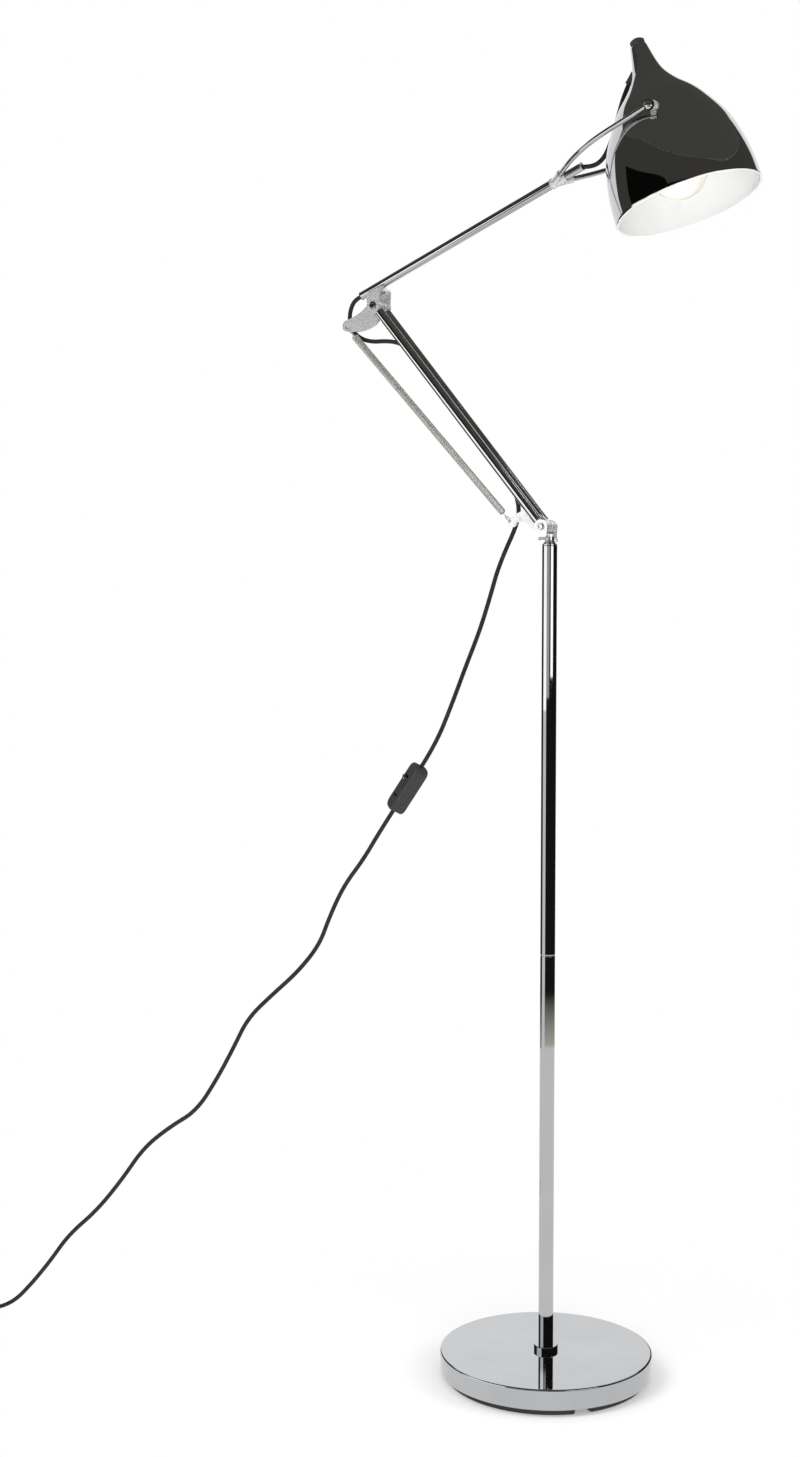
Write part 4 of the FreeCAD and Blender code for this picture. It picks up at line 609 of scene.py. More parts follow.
def chain(bm, outline, closed=False):
    """Vertices along an outline of (radius, height) pairs, joined by edges."""
    verts = [bm.verts.new((radius, 0, height)) for radius, height in outline]
    pairs = list(zip(verts, verts[1:]))
    if closed:
        pairs.append((verts[-1], verts[0]))
    return verts + [bm.edges.new(pair) for pair in pairs]


def spun(outline, steps, closed=False):
    """Surface of an outline turned once about Z."""
    bm = bmesh.new()
    bmesh.ops.spin(bm, geom=chain(bm, outline, closed), cent=(0, 0, 0), axis=UP, angle=2 * math.pi,
                   steps=steps, use_merge=True)
    return bm


def rounded(bm, edges, offset, segments):
    """Rounds edges of a mesh that is being built."""
    bmesh.ops.bevel(bm, geom=edges, offset=offset, affect="EDGES", segments=segments, profile=0.5,
                    material=-1)


def arc(centre, radius, start, end, steps):
    """Points of an arc in the (radius, height) plane, angles in degrees from +radius."""
    angles = [math.radians(start + (end - start) * step / steps) for step in range(steps + 1)]
    return [(centre[0] + radius * math.cos(a), centre[1] + radius * math.sin(a)) for a in angles]


def smooth_line(points, steps):
    """Curve through points, with its spans rounded by their neighbours."""
    ends = [Vector(points[0]) * 2 - Vector(points[1]), Vector(points[-1]) * 2 - Vector(points[-2])]
    line = [ends[0]] + [Vector(p) for p in points] + [ends[1]]
    out = []
    for a, b, c, d in zip(line, line[1:], line[2:], line[3:]):
        for step in range(steps):
            t = step / steps
            out.append(0.5 * ((2 * b) + (c - a) * t + (2 * a - 5 * b + 4 * c - d) * t * t
                              + (3 * b - a - 3 * c + d) * t ** 3))
    return out + [line[-2]]


def eased(points, rounds):
    """The same line with small waves taken out; its ends stay."""
    line = [Vector(p) for p in points]
    for _ in range(rounds):
        middle = [(a + b * 2 + c) / 4 for a, b, c in zip(line, line[1:], line[2:])]
        line = [line[0]] + middle + [line[-1]]
    return line


def finish_nodes(finish, *nodes):
    """Gives the construction's own pieces a finish."""
    for node in nodes:
        for slot in frame["nodes"][node].material_slots:
            slot.link = "OBJECT"
            slot.material = finish


# ---- cables ----
def cord_curve(name, points, radius=CORD_RADIUS, bevel=4, steps=8):
    """Curve on a route's points; with no radius it is the line itself."""
    curve = bpy.data.curves.new(name, "CURVE")
    curve.dimensions = "3D"
    curve.resolution_u = steps
    if radius:
        curve.bevel_depth = radius
        curve.bevel_resolution = bevel
        curve.use_fill_caps = True
    spline = curve.splines.new("NURBS")
    spline.points.add(len(points) - 1)
    for target, point in zip(spline.points, points):
        target.co = (*point, 1)
    spline.order_u = 3
    spline.use_endpoint_u = True
    piece = bpy.data.objects.new(name, curve)
    bpy.context.scene.collection.objects.link(piece)
    return piece


def mesh_of_curve(name, points, **settings):
    """Mesh that a curve on these points gives; the curve itself is removed."""
    source = cord_curve(name + "_line", points, **settings)
    bpy.context.view_layer.update()
    mesh = bpy.data.meshes.new_from_object(source.evaluated_get(bpy.context.evaluated_depsgraph_get()))
    curve = source.data
    bpy.data.objects.remove(source)
    bpy.data.curves.remove(curve)
    mesh.name = name
    return mesh


def line_of(name, points):
    """Points along the smooth line of a route."""
    mesh = mesh_of_curve(name, points, radius=0)
    found = [vertex.co.copy() for vertex in mesh.vertices]
    bpy.data.meshes.remove(mesh)
    return found


def jointed_cord(name, points):
    """Cable stretch that runs from one body to another; its mesh rides on no body."""
    mesh = mesh_of_curve(name, points)
    mesh.materials.clear()
    mesh.shade_smooth()
    piece = shown(name, mesh, [cable_jacket()], None)
    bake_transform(piece)
    return piece


def exit_points():
    start = hang(*LEAD_START)
    backward = (start - hang(*LEAD_UPPER[0])).normalized()
    gap = [lower_gap_point(GAP_LOW - run) for run in (0, GAP_RUN)]
    return gap + [Vector(point) for point in EXIT_ROUTE] + [start + backward * EXIT_RUN, start]


def upper_lead_points():
    place = switch_matrix()
    ends = [place @ Vector((-reach, 0, 0)) for reach in (SWITCH_APPROACH, SWITCH_GRIP)]
    return [hang(*LEAD_START)] + [hang(*point) for point in LEAD_UPPER] + ends


def coil_points():
    """Turns of the spare lead: inwards on the floor, then up and outwards on top of them."""
    per_turn = 16               # points of the route
    crossing = 0.2              # share of a turn in which the lead moves over to the next ring
    outward = 0.3               # share of a turn at which it starts to on its way out
    swell = math.cos(math.pi / per_turn) ** 0.7     # keeps the smooth line on the circle
    lift = 2 * CORD_RADIUS + 0.0001
    diameter = 2 * CORD_RADIUS
    outermost = COIL_RADIUS + (COIL_TURNS_WIDE - 1) * CORD_RADIUS
    centre = coil_centre()
    start = math.atan2(*reversed((hang(COIL_ENTRY_X, 0) - centre).xy))
    low = TIE_THICKNESS + CORD_RADIUS
    points = []
    for step in range(2 * COIL_TURNS_WIDE * per_turn + 1):
        turn = step / per_turn
        share = turn % 1
        if turn < COIL_TURNS_WIDE:
            ring = int(turn) + max(0, share - (1 - crossing)) / crossing
            inwards = min(ring, COIL_TURNS_WIDE - 1)
            rise = max(0, turn - (COIL_TURNS_WIDE - crossing)) / crossing
        else:
            passed = int(turn) - COIL_TURNS_WIDE + min(1, max(0, share - outward) / crossing)
            inwards = COIL_TURNS_WIDE - 1 - min(passed, COIL_TURNS_WIDE - 1)
            rise = 1
        radius = (outermost - inwards * diameter) / swell
        angle = start + 2 * math.pi * turn
        place = Vector((radius * math.cos(angle), radius * math.sin(angle), low + rise * lift))
        points.append(centre + place)
    return points


def lower_lead_points():
    place = switch_matrix()
    ends = [place @ Vector((reach, 0, 0)) for reach in (SWITCH_GRIP, SWITCH_APPROACH)]
    fall = [hang(*point) for point in LEAD_LOWER]
    tail = [hang(COIL_ENTRY_X - run, height) for run, height in LEAD_TAIL]
    return ends + fall + coil_points() + tail


def gland_points():
    """Inner and outer end of the cable gland on the shade's neck."""
    outwards = heading(math.radians(-90 - GLAND_SLANT - SHADE_LEAN))
    outer = GLAND_FOOT + outwards * GLAND_LENGTH
    place = shade_matrix()
    return place @ GLAND_FOOT, place @ outer


class AddFreeLead(bpy.types.Operator):
    """Mains lead from the arm through the switch to the coil and the plug"""
    bl_idname = "floor_lamp.add_free_lead"
    bl_label = "Free lead"

    def execute(self, context):
        points = exit_points()
        leaving = jointed_cord("lead_exit", points)
        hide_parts("cord_exit")
        points = upper_lead_points()
        upper = jointed_cord("lead_upper", points)
        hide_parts("cord_drop_upper")
        line = line_of("lead_upper_path", points)
        points = lower_lead_points()
        lower = cord_curve("lead_lower", points)
        lower.data.materials.append(cable_jacket())
        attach(lower, "root")
        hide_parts("cord_drop_lower", "cord_coil", "cord_tail")
        return {"FINISHED"}


class AddHeldCable(bpy.types.Operator):
    """Cable that the arm holds: in its gap, round the elbow, in the upper tube and up to the shade"""
    bl_idname = "floor_lamp.add_held_cable"
    bl_label = "Held cable"

    def execute(self, context):
        rear = [upper_point(-UPPER_REAR - run) for run in (0, TUBE_RUN)]
        entry = [lower_gap_point(LOWER_LENGTH - GAP_HIGH + run) for run in (GAP_RUN, 0)]
        loop = rear + [ELBOW_PIVOT + Vector(point) for point in ELBOW_LOOP] + entry
        elbow = jointed_cord("elbow_cable", loop)
        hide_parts("cord_elbow_loop")
        shoulder = upper_point(UPPER_REACH)
        inner, outer = gland_points()
        far = outer + (outer - inner).normalized() * GLAND_RUN
        ahead = [upper_point(UPPER_REACH + LOOP_START + run) for run in (0, FERRULE_RUN)]
        loop = ahead + [shoulder + Vector((x, 0, z)) for x, z in SHADE_LOOP] + [far, inner]
        shade = jointed_cord("shade_cable", loop)
        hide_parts("cord_shade_loop")
        finish_nodes(cable_jacket(), "cord_in_arm", "cord_in_upper_tube", "cord_exit", "cord_drop_upper",
                     "cord_drop_lower", "cord_coil", "cord_tail", "cord_elbow_loop", "cord_shade_loop")
        return {"FINISHED"}


# ---- base and pole ----
class AddBase(bpy.types.Operator):
    """Chrome cover with its rolled edges, collar, rubber feet, and the finishes of what is under the cover"""
    bl_idname = "floor_lamp.add_base"
    bl_label = "Base"

    bore = 0.0055               # radius of the hole in the cover's middle
    feet = 3
    foot_width = 0.016
    foot_gap = 0.016            # between two feet, along the rim
    foot_corner = 0.003         # rounding of a foot's upright edges
    first_gap = math.radians(-43)

    def execute(self, context):
        self.add_cover(context.scene.lamp_sizes)
        self.add_feet(context.scene.lamp_sizes)
        finish_nodes(mirror_chrome(), "base_collar", "base_cover")
        finish_nodes(cast_weight(), "base_weight")
        finish_nodes(black_plastic(), "base_underside")
        finish_nodes(black_rubber(), "base_feet")
        finish_nodes(bright_zinc(), "base_bolt")
        return {"FINISHED"}

    def add_cover(self, sizes):
        low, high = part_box("base_cover")
        radius = high.x
        edge, lip = sizes.base_edge, sizes.base_lip
        wall = 2 * lip
        outline = [(self.bore, high.z)] + [(radius * share, high.z) for share in (0.25, 0.6, 0.9)]
        outline += arc((radius - edge, high.z - edge), edge, 90, 0, 6)
        outline += arc((radius - lip, low.z + lip), lip, 0, -180, 8)
        outline += [(radius - wall, high.z - edge), (radius - wall - edge, high.z - wall)]
        outline += [(self.bore, high.z - wall)]
        bm = spun(outline, 288, closed=True)
        cover = shown("base_cover_plate", meshed("base_cover_plate", bm), [mirror_chrome()], "root")
        weighted = cover.modifiers.new("Even faces", "WEIGHTED_NORMAL")
        weighted.keep_sharp = True
        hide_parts("base_cover")

    def add_feet(self, sizes):
        low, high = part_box("base_feet")
        outer = max(high.x, high.y, -low.x)
        inner = outer - self.foot_width
        section = [(inner, 0), (outer, 0), (outer, high.z), (inner, high.z)]
        share = 2 * math.pi / self.feet
        sweep = share - self.foot_gap / outer
        bm = bmesh.new()
        for index in range(self.feet):
            start = self.first_gap + self.foot_gap / outer / 2 + share * index
            geometry = chain(bm, section, closed=True)
            verts = [part for part in geometry if isinstance(part, bmesh.types.BMVert)]
            bmesh.ops.rotate(bm, verts=verts, cent=(0, 0, 0), matrix=Matrix.Rotation(start, 3, "Z"))
            cap = bm.faces.new(verts)
            bmesh.ops.spin(bm, geom=[cap], cent=(0, 0, 0), axis=UP, angle=sweep, steps=56)
        bmesh.ops.remove_doubles(bm, verts=bm.verts, dist=MERGE)
        bmesh.ops.recalc_face_normals(bm, faces=bm.faces)
        upright = [edge for edge in bm.edges
                   if abs(edge.verts[0].co.z - edge.verts[1].co.z) > high.z / 2
                   and edge.calc_face_angle(0) > CORNER]
        rounded(bm, upright, self.foot_corner, 6)
        rims = [edge for edge in bm.edges
                if max(vert.co.z for vert in edge.verts) < MERGE and edge.calc_face_angle(0) > CORNER]
        rounded(bm, rims, sizes.foot_edge, 4)
        feet = shown("feet_pads", meshed("feet_pads", bm), [black_rubber()], "root")
        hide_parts("base_feet")


class AddPole(bpy.types.Operator):
    """Two-piece pole with its seam, and the neck with the swivel in it"""
    bl_idname = "floor_lamp.add_pole"
    bl_label = "Pole"

    wall = 0.0012
    edge = 0.0005               # rounding of a tube's ends

    def execute(self, context):
        self.add_tube("pole_lower", round_low=False, round_high=True)
        self.add_tube("pole_upper", round_low=True, round_high=True)
        finish_nodes(mirror_chrome(), "pole_lower", "pole_upper", "pole_neck")
        finish_nodes(bright_zinc(), "pole_foot_plug", "pole_coupler", "swivel_screw")
        finish_nodes(turned_brass(), "swivel_bush")
        return {"FINISHED"}

    def add_tube(self, node, round_low, round_high):
        """Tube with a line beside each end that keeps the roundings from shading its long face."""
        low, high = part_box(node)
        radius, wall, edge = high.x, self.wall, self.edge
        guard = 3 * edge
        outline = [(radius - wall, low.z)]
        outline += arc((radius - edge, low.z + edge), edge, -90, 0, 4) if round_low else [(radius, low.z)]
        outline += [(radius, low.z + guard), (radius, high.z - guard)]
        outline += arc((radius - edge, high.z - edge), edge, 0, 90, 4) if round_high else [(radius, high.z)]
        outline += [(radius - wall, high.z)]
        bm = spun(outline, 96, closed=True)
        tube = shown(node + "_tube", meshed(node + "_tube", bm), [mirror_chrome()], "root")
        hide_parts(node)


# ---- arm ----
class AddArm(bpy.types.Operator):
    """Tubes, hinges, levers and fork of the arm"""
    bl_idname = "floor_lamp.add_arm"
    bl_label = "Arm"

    def execute(self, context):
        finish_nodes(mirror_chrome(), "lower_arm_tube_near", "lower_arm_tube_far", "upper_arm_tube",
                     "fork_rod_near", "fork_rod_far", "cord_ferrule")
        finish_nodes(satin_nickel(), "horn_lever", "elbow_lever", "fork_socket", "shade_standoffs")
        finish_nodes(turned_nickel("foot_hinge_face", FOOT_PIVOT), "head_bracket", "foot_knuckles")
        finish_nodes(turned_nickel("elbow_hinge_face", ELBOW_PIVOT), "elbow_bracket", "elbow_knuckles")
        finish_nodes(bright_zinc(), "foot_pivot_bolt", "foot_pivot_nut", "elbow_pivot_bolt",
                     "elbow_pivot_nut", "saddle_screws")
        finish_nodes(pale_nylon(), "friction_washers")
        finish_nodes(black_plastic(), "rear_grommet")
        return {"FINISHED"}


class AddSpring(bpy.types.Operator):
    """Coil spring with its hooks, from the horn's tip to the elbow lever"""
    bl_idname = "floor_lamp.add_spring"
    bl_label = "Spring"

    lead = 0.014                # from a hook's bearing point to the first coil
    ring = 0.004                # radius of a hook's ring
    ring_steps = 13
    wind_turns = 1.2            # turns in which the wire winds in from the coil to the axis
    wind_steps = 14
    wind_run = 0.0022           # length along the axis that this takes
    wind_shape = 0.8            # power by which the turns close in
    coil_steps = 16             # faces of the wire in a turn of the coil

    def execute(self, context):
        sizes = context.scene.lamp_sizes
        low = FOOT_PIVOT + HORN_TIP
        high = ELBOW_PIVOT + LEVER_TIP
        along = (high - low).normalized()
        coil = self.coil_mesh(sizes, low + along * self.lead, high - along * self.lead)
        hooks = [self.hook_mesh(sizes, low, along, with_ring=True),
                 self.hook_mesh(sizes, high, -along, with_ring=False)]
        bm = bmesh.new()
        for mesh in [coil] + hooks:
            bm.from_mesh(mesh)
            bpy.data.meshes.remove(mesh)
        body = meshed("spring_coils", bm, recalculate=False)
        spring = shown("spring_coils", body, [spring_wire()], None)
        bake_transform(spring)
        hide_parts("balance_spring", "spring_end_plug")
        self.add_upper_ring(sizes, high, along)
        finish_nodes(spring_wire(), "balance_spring", "spring_end_plug")
        return {"FINISHED"}

    def coil_mesh(self, sizes, start, end):
        """Helix of wire between two points."""
        length = (end - start).length
        bm = bmesh.new()
        mean = sizes.spring_radius - sizes.spring_wire
        section = Matrix.Translation((mean, 0, 0)) @ Matrix.Rotation(math.pi / 2, 4, "X")
        made = bmesh.ops.create_circle(bm, segments=8, radius=sizes.spring_wire, matrix=section)
        steps = sizes.spring_turns * self.coil_steps
        bmesh.ops.spin(bm, geom=made["verts"] + list(bm.edges), cent=(0, 0, 0), axis=UP,
                       dvec=UP * (length / steps), angle=2 * math.pi * sizes.spring_turns, steps=steps)
        bmesh.ops.holes_fill(bm, edges=[edge for edge in bm.edges if edge.is_boundary], sides=0)
        return meshed("spring_helix", bm, pointing(start, end - start))

    def hook_mesh(self, sizes, hook, inward, with_ring):
        """Wire that winds in from the last coil, runs straight and ends in the hook's ring."""
        mean = sizes.spring_radius - sizes.spring_wire
        side = inward.cross(ACROSS)
        end = hook + inward * self.lead
        points = []
        for step in range(self.wind_steps + 1):
            share = step / self.wind_steps
            angle = 2 * math.pi * share * self.wind_turns
            radius = mean * (1 - share) ** self.wind_shape
            winding = (side * math.cos(angle) + ACROSS * math.sin(angle)) * radius
            points.append(end + winding - inward * (self.wind_run * share))
        foot = hook + inward * (2 * self.ring)
        points += [end.lerp(foot, share) for share in (0.5, 0.8)] + [foot]
        if with_ring:
            centre = hook + inward * self.ring
            for step in range(1, self.ring_steps):
                angle = 2 * math.pi * step / self.ring_steps
                points.append(centre + (inward * math.cos(angle) + ACROSS * math.sin(angle)) * self.ring)
        return mesh_of_curve("spring_hook", points, radius=sizes.spring_wire, bevel=2, steps=4)

    def add_upper_ring(self, sizes, hook, along):
        """Ring in the elbow lever's hole; it turns with the lever."""
        bm = bmesh.new()
        section = Matrix.Translation((self.ring, 0, 0)) @ Matrix.Rotation(math.pi / 2, 4, "X")
        made = bmesh.ops.create_circle(bm, segments=10, radius=sizes.spring_wire, matrix=section)
        bmesh.ops.spin(bm, geom=made["verts"] + list(bm.edges), cent=(0, 0, 0), axis=UP, angle=2 * math.pi,
                       steps=40, use_merge=True)
        flat = pointing(hook - along * self.ring, along.cross(ACROSS))
        shown("spring_top_ring", meshed("spring_top_ring", bm, flat), [spring_wire()], "upper_arm")


# ---- shade ----
class AddShade(bpy.types.Operator):
    """Bell of spun metal, chrome outside and white inside, with its cap, gland and pivot screws"""
    bl_idname = "floor_lamp.add_shade"
    bl_label = "Shade"

    # the bell's outer line: (radius, height from the cap's top)
    bell = ((0.0079, -0.0080), (0.0087, -0.0092), (0.0105, -0.018), (0.0130, -0.029), (0.0175, -0.0416),
            (0.0280, -0.056), (0.0432, -0.0724), (0.0552, -0.0905), (0.0665, -0.112), (0.0728, -0.1357),
            (0.0761, -0.159), (0.0766, -0.181))
    neck_bore = 0.0052          # radius of the hole in the bell's top
    plated = 3                  # steps of the bead that show the plate; the rest is enamelled

    def execute(self, context):
        sizes = context.scene.lamp_sizes
        outer = [Vector(self.bell[0])] + eased(smooth_line(self.bell[1:], 8), 6)
        inner = self.moved_in(outer[1:], sizes.shade_wall)
        bead = sizes.shade_bead
        mouth = outer[-1]
        rim = [Vector(p) for p in arc((mouth.x - bead, mouth.y), bead, 0, -200, 10)]
        outside = [Vector((self.neck_bore, outer[0].y))] + outer[:-1] + rim[:self.plated]
        inside = rim[self.plated - 1:] + list(reversed(inner[:-2])) + [Vector((self.neck_bore, inner[0].y))]
        bm = spun(outside, 192)
        lining = spun(inside, 192)
        painted = bpy.data.meshes.new("lining")
        for face in lining.faces:
            face.material_index = 1
        lining.to_mesh(painted)
        lining.free()
        bm.from_mesh(painted)
        bpy.data.meshes.remove(painted)
        mesh = meshed("shade_bell", bm, shade_matrix())
        shade = shown("shade_bell", mesh, [mirror_chrome(), white_enamel()], "shade")
        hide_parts("shade_shell")
        finish_nodes(mirror_chrome(), "shade_shell")
        finish_nodes(black_plastic(), "shade_cap", "shade_gland", "lamp_holder")
        finish_nodes(bright_zinc(), "shade_nipple", "shade_pivot_screws", "bulb_screw_cap")
        return {"FINISHED"}

    def moved_in(self, line, wall):
        """The line moved inwards by the wall, square to itself."""
        moved = []
        for index, point in enumerate(line):
            before = line[max(index - 1, 0)]
            after = line[min(index + 1, len(line) - 1)]
            slope = (after - before).normalized()
            moved.append(point + Vector((slope.y, -slope.x)) * wall)
        return moved


class AddBulb(bpy.types.Operator):
    """Opal globe bulb in the holder"""
    bl_idname = "floor_lamp.add_bulb"
    bl_label = "Bulb"

    # radius, and height from the top of the shade's cap
    neck = ((0.0136, -0.0920), (0.014, -0.0935), (0.014, -0.0985))
    shoulder = (0.017, -0.108)
    globe_bottom = -0.175
    globe_start = 62            # degrees above the globe's middle at which the shoulder meets it

    def execute(self, context):
        radius = context.scene.lamp_sizes.bulb_radius
        centre = self.globe_bottom + radius
        globe = arc((0, centre), radius, self.globe_start, -90, 30)
        shoulder = smooth_line([self.neck[-1], self.shoulder, globe[0]], 5)
        outline = [(0, self.neck[0][1]), *self.neck] + [tuple(point) for point in shoulder[1:-1]]
        bm = spun(outline + globe[:-1] + [(0, centre - radius)], 96)
        bulb = shown("bulb", meshed("bulb", bm, shade_matrix()), [opal_glass()], "shade")
        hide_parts("bulb_globe")
        finish_nodes(opal_glass(), "bulb_globe")
        return {"FINISHED"}


# ---- what is on the lead ----
class AddSwitch(bpy.types.Operator):
    """In-line switch: two halves, the rocker and the pale dot on it"""
    bl_idname = "floor_lamp.add_switch"
    bl_label = "Switch"

    dot_radius = 0.0011
    dot_height = 0.35           # as a share of its radius
    dot_place = (-0.0085, 0, 0.01062)
    dot_slope = math.radians(14)

    def execute(self, context):
        finish_nodes(black_plastic(), "switch_base", "switch_cover", "switch_rocker")
        bm = bmesh.new()
        bmesh.ops.create_uvsphere(bm, u_segments=20, v_segments=10, radius=self.dot_radius)
        bmesh.ops.scale(bm, vec=(1, 1, self.dot_height), verts=bm.verts)
        dot = Matrix.Translation(self.dot_place) @ Matrix.Rotation(self.dot_slope, 4, "Y")
        mesh = meshed("rocker_dot", bm, switch_matrix() @ dot)
        shown("rocker_dot", mesh, [rocker_paint()], "switch_rocker")
        return {"FINISHED"}


class AddPlug(bpy.types.Operator):
    """Plug with its ribbed strain relief, and the tie round the coil"""
    bl_idname = "floor_lamp.add_plug"
    bl_label = "Plug and tie"

    relief_bore = CORD_RADIUS - 0.0002
    relief_thin = CORD_RADIUS + 0.0006      # radius where the lead enters
    relief_thick = 0.0050                   # radius at the plug
    relief_rings = 6
    # a ring and the groove after it: (share of their pitch, depth under the ring's top)
    ring_line = ((0.1, 0.0001), (0.2, 0), (0.6, 0), (0.7, 0.0001))
    groove_line = ((0.78, 0.0007), (1.02, 0.0007))
    tie_corner = 2.2 * CORD_RADIUS

    def execute(self, context):
        self.add_relief()
        self.add_tie()
        finish_nodes(black_plastic(), "plug_body")
        finish_nodes(black_rubber(), "plug_strain_relief", "coil_tie")
        finish_nodes(bright_zinc(), "plug_pins")
        return {"FINISHED"}

    def add_relief(self):
        """Tapered sleeve with rings, from the lead to the plug."""
        outline = [(self.relief_bore, 0), (self.relief_thin, 0)]
        pitch = RELIEF_LENGTH / self.relief_rings
        for ring in range(self.relief_rings):
            last = ring == self.relief_rings - 1
            grown = (self.relief_thick - self.relief_thin) * (ring + 0.6) / self.relief_rings
            outline += [(self.relief_thin + grown - depth, (ring + share) * pitch)
                        for share, depth in self.ring_line + (() if last else self.groove_line)]
        outline += [(self.relief_thick, RELIEF_LENGTH), (self.relief_bore, RELIEF_LENGTH)]
        run, height = LEAD_TAIL[-1]
        place = pointing(hang(COIL_ENTRY_X - run, height), lead_heading())
        mesh = meshed("plug_relief", spun(outline, 40, closed=True), place)
        relief = shown("plug_relief", mesh, [black_rubber()], "root")
        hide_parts("plug_strain_relief")

    def add_tie(self):
        """Band round the coil's bundle."""
        bundle = 2 * COIL_TURNS_WIDE * CORD_RADIUS
        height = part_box("cord_coil")[1].z - TIE_THICKNESS
        bm = bmesh.new()
        bmesh.ops.create_cube(bm, size=1.0)
        size = (bundle + 2 * TIE_THICKNESS, TIE_WIDTH, height + 2 * TIE_THICKNESS)
        bmesh.ops.scale(bm, vec=size, verts=bm.verts)
        ends = [face for face in bm.faces if abs(face.normal.y) > 0.9]
        bmesh.ops.delete(bm, geom=ends, context="FACES_ONLY")
        lengthwise = [edge for edge in bm.edges
                      if abs(edge.verts[0].co.y - edge.verts[1].co.y) > TIE_WIDTH / 2]
        rounded(bm, lengthwise, self.tie_corner, 8)
        bmesh.ops.recalc_face_normals(bm, faces=bm.faces)
        bmesh.ops.solidify(bm, geom=bm.faces[:], thickness=TIE_THICKNESS)
        turn = Matrix.Rotation(TIE_DIRECTION, 4, "Z")
        centre = coil_centre() + UP * (size[2] / 2)
        place = Matrix.Translation(centre) @ turn @ Matrix.Translation((COIL_RADIUS, 0, 0))
        tie = shown("coil_band", meshed("coil_band", bm, place), [black_rubber()], "root")
        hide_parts("coil_tie")


# ---- studio ----
class AddCamera(bpy.types.Operator):
    """Camera where the photograph was taken from"""
    bl_idname = "floor_lamp.add_camera"
    bl_label = "Camera"

    def execute(self, context):
        data = bpy.data.cameras.new("camera")
        data.lens = CAMERA_LENS
        data.sensor_width = CAMERA_SENSOR
        data.clip_end = 60
        camera = bpy.data.objects.new("camera", data)
        camera.location = CAMERA_PLACE
        look = CAMERA_HEADING * math.cos(CAMERA_TILT) - UP * math.sin(CAMERA_TILT)
        camera.rotation_mode = "QUATERNION"
        camera.rotation_quaternion = look.to_track_quat("-Z", "Y")
        context.scene.collection.objects.link(camera)
        context.scene.camera = camera
        context.scene.view_settings.view_transform = "Standard"
        return {"FINISHED"}


def ray_share(tree):
    """1 for rays from the camera and for reflected or refracted ones, else 0."""
    path = tree.add("ShaderNodeLightPath").outputs
    seen = tree.math("MAXIMUM", path["Is Camera Ray"], path["Is Glossy Ray"])
    return tree.math("MAXIMUM", seen, path["Is Transmission Ray"])


def studio_piece(name, bm, surface):
    """Object of the studio, linked and with its material."""
    mesh = bpy.data.meshes.new(name)
    bm.to_mesh(mesh)
    bm.free()
    mesh.materials.append(surface)
    piece = bpy.data.objects.new(name, mesh)
    bpy.context.scene.collection.objects.link(piece)
    return piece


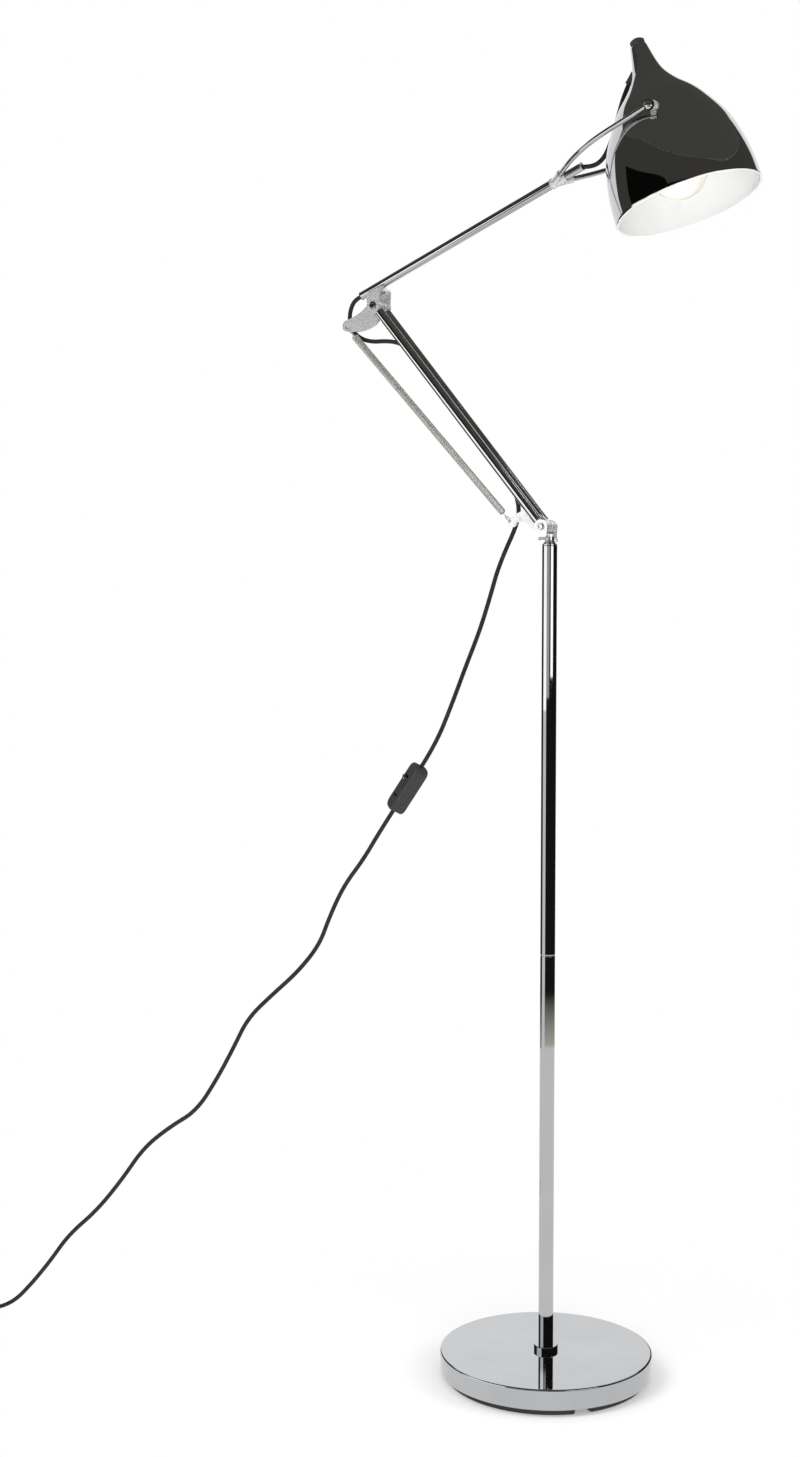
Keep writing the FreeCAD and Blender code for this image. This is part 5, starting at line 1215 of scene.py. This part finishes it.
class AddStudio(bpy.types.Operator):
    """Pale floor, even sky, soft lamps, and the cards that the chrome reflects"""
    bl_idname = "floor_lamp.add_studio"
    bl_label = "Studio"

    floor_reach = 30            # half of the floor's side
    floor_glow = 0.26           # seen by the camera and in reflections, on top of the floor's light
    floor_mirrored = 0.86       # level of the floor in reflections
    shaded_to = 0.15            # distances from the pole between which the floor turns plain white
    white_from = 0.42
    side_share = 0.4            # power of the side lamp, as a share of the key lamp's
    card_fade = 0.1             # height over which a card fades to the level of its foot
    card_dark = 0.1             # cards under this level are olive
    olive = (1, 0.96, 0.84, 1)

    def execute(self, context):
        studio = context.scene.lamp_studio
        self.add_sky(context.scene, studio)
        self.add_floor(studio)
        self.add_lamps(studio)
        self.add_cards()
        return {"FINISHED"}

    def add_sky(self, scene, studio):
        world = bpy.data.worlds.new("sky")
        scene.world = world
        world.use_nodes = True
        tree = Tree(world.node_tree)
        background = world.node_tree.nodes["Background"]
        background.inputs["Color"].default_value = WHITE
        tree.set(background.inputs["Strength"], tree.spread(ray_share(tree), studio.sky, 1.0))

    def add_floor(self, studio):
        """Floor with the lamp's soft shadow; away from the lamp, and in reflections, it glows evenly."""
        bm = bmesh.new()
        bmesh.ops.create_grid(bm, x_segments=1, y_segments=1, size=self.floor_reach)
        paper = Finish("floor_paper", (*studio.floor, 1), 0.0, 1.0)
        paper.glow(WHITE, paper.spread(ray_share(paper), 0.0, self.floor_glow))
        path = paper.add("ShaderNodeLightPath").outputs
        reflected = paper.math("MAXIMUM", path["Is Glossy Ray"], path["Is Transmission Ray"])
        reach = paper.add("ShaderNodeVectorMath", {0: paper.where}, operation="LENGTH").outputs["Value"]
        beyond = paper.spread(reach, 0, 1, self.shaded_to, self.white_from)
        away = paper.math("MULTIPLY", beyond, path["Is Camera Ray"])
        level = paper.spread(reflected, 1.0, self.floor_mirrored)
        even = paper.add("ShaderNodeEmission", {"Strength": level})
        both = paper.add("ShaderNodeMixShader", {0: paper.math("MAXIMUM", reflected, away),
                                                 1: paper.shader.outputs[0], 2: even.outputs[0]})
        paper.set(paper.made.node_tree.nodes["Material Output"].inputs["Surface"], both.outputs[0])
        floor = studio_piece("floor", bm, paper.made)

    def add_lamps(self, studio):
        for name, place, target, size, power in (
                ("key_lamp", (-1.1, -2.4, 3.0), (0, 0, 0.8), 1.8, studio.key),
                ("side_lamp", (2.6, 0.6, 2.2), (0, 0, 0.9), 1.6, studio.key * self.side_share),
                ("low_lamp", (0.9, -1.3, 0.25), (0.14, 0, 1.28), 0.9, studio.fill)):
            data = bpy.data.lights.new(name, "AREA")
            data.energy = power
            data.size = size
            lamp = bpy.data.objects.new(name, data)
            lamp.location = place
            lamp.rotation_euler = (Vector(target) - Vector(place)).to_track_quat("-Z", "Y").to_euler()
            lamp.visible_glossy = False
            lamp.visible_camera = False
            bpy.context.scene.collection.objects.link(lamp)

    def add_cards(self):
        """Upright cards round the lamp, seen only in reflections.

        Angles are in degrees from the camera's side, plus to the right. An outline is given as
        (radius, height) pairs, and the last two values are the levels of the card and of its foot.
        """
        for name, start, end, outline, level, foot in (
                ("card_dark_front", -46, 130, ((1.62, 0.0), (1.62, 1.16)), 0.012, 0.6),
                ("card_black_left", -100, -4, ((1.63, 1.12), (1.63, 1.72)), 0.004, 0.004),
                ("card_olive_high", -128, 132, ((1.64, 1.14), (1.64, 2.4)), 0.06, 0.06),
                ("card_olive_lid", -180, 180, ((1.64, 2.4), (0.001, 2.4)), 0.08, 0.08),
                ("card_dark_right", 130, 166, ((1.60, 0.0), (1.60, 1.14)), 0.03, 0.5),
                ("card_dark_left", -158, -98, ((1.60, 0.0), (1.60, 1.14)), 0.03, 0.5),
                ("card_bright_left", -97, -47, ((1.50, 0.64), (1.50, 1.12)), 1.7, 1.7),
                ("card_grey_front", -46, -2, ((1.55, 0.66), (1.55, 1.12)), 0.5, 0.5),
                ("card_bright_right", 17, 54, ((1.50, 0.70), (1.50, 1.12)), 1.9, 1.9)):
            self.add_card(name, start, end, outline, level, foot)

    def add_card(self, name, start, end, outline, level, foot):
        """Card swept round the lamp; near the floor it fades to the level of its foot."""
        towards_camera = math.atan2(-CAMERA_HEADING.y, -CAMERA_HEADING.x)
        first = towards_camera + math.radians(start)
        bm = bmesh.new()
        edge = chain(bm, outline)
        bmesh.ops.rotate(bm, verts=bm.verts, cent=(0, 0, 0), matrix=Matrix.Rotation(first, 3, "Z"))
        bmesh.ops.spin(bm, geom=edge, cent=(0, 0, 0), axis=UP, angle=math.radians(end - start), steps=48)
        face = Finish(name + "_face", (0, 0, 0, 1), 0.0, 1.0)
        height = face.add("ShaderNodeSeparateXYZ", {"Vector": face.where}).outputs["Z"]
        tint = self.olive if level < self.card_dark else WHITE
        face.glow(tint, face.spread(height, foot, level, 0.0, self.card_fade))
        card = studio_piece(name, bm, face.made)
        card.visible_camera = False
        card.visible_diffuse = False
        card.visible_shadow = False
        card.visible_transmission = False


# ---- add-on ----
OPERATORS = (AddCamera, AddFreeLead, AddHeldCable, AddBase, AddPole, AddArm, AddSpring, AddShade, AddBulb,
             AddSwitch, AddPlug, AddStudio)


class LampPanel(bpy.types.Panel):
    """Lists the lamp's pieces in the sidebar."""
    bl_idname = "VIEW3D_PT_floor_lamp"
    bl_label = "Floor lamp"
    bl_space_type = "VIEW_3D"
    bl_region_type = "UI"
    bl_category = "Floor lamp"

    def draw(self, context):
        scene = context.scene
        for group in (scene.lamp_sizes, scene.lamp_colours, scene.lamp_studio):
            box = self.layout.box()
            for name in group.bl_rna.properties.keys():
                if name not in ("rna_type", "name"):
                    box.prop(group, name)
        for operator in OPERATORS:
            self.layout.operator(operator.bl_idname)


CLASSES = (LampSizes, LampColours, LampStudio, *OPERATORS, LampPanel)


def register():
    for cls in CLASSES:
        bpy.utils.register_class(cls)
    bpy.types.Scene.lamp_sizes = PointerProperty(type=LampSizes)
    bpy.types.Scene.lamp_colours = PointerProperty(type=LampColours)
    bpy.types.Scene.lamp_studio = PointerProperty(type=LampStudio)


def unregister():
    for name in ("lamp_sizes", "lamp_colours", "lamp_studio"):
        delattr(bpy.types.Scene, name)
    for cls in reversed(CLASSES):
        bpy.utils.unregister_class(cls)


def main():
    register()
    for operator in OPERATORS:
        group, action = operator.bl_idname.split(".")
        getattr(getattr(bpy.ops, group), action)()


if __name__ == "__main__":
    main()
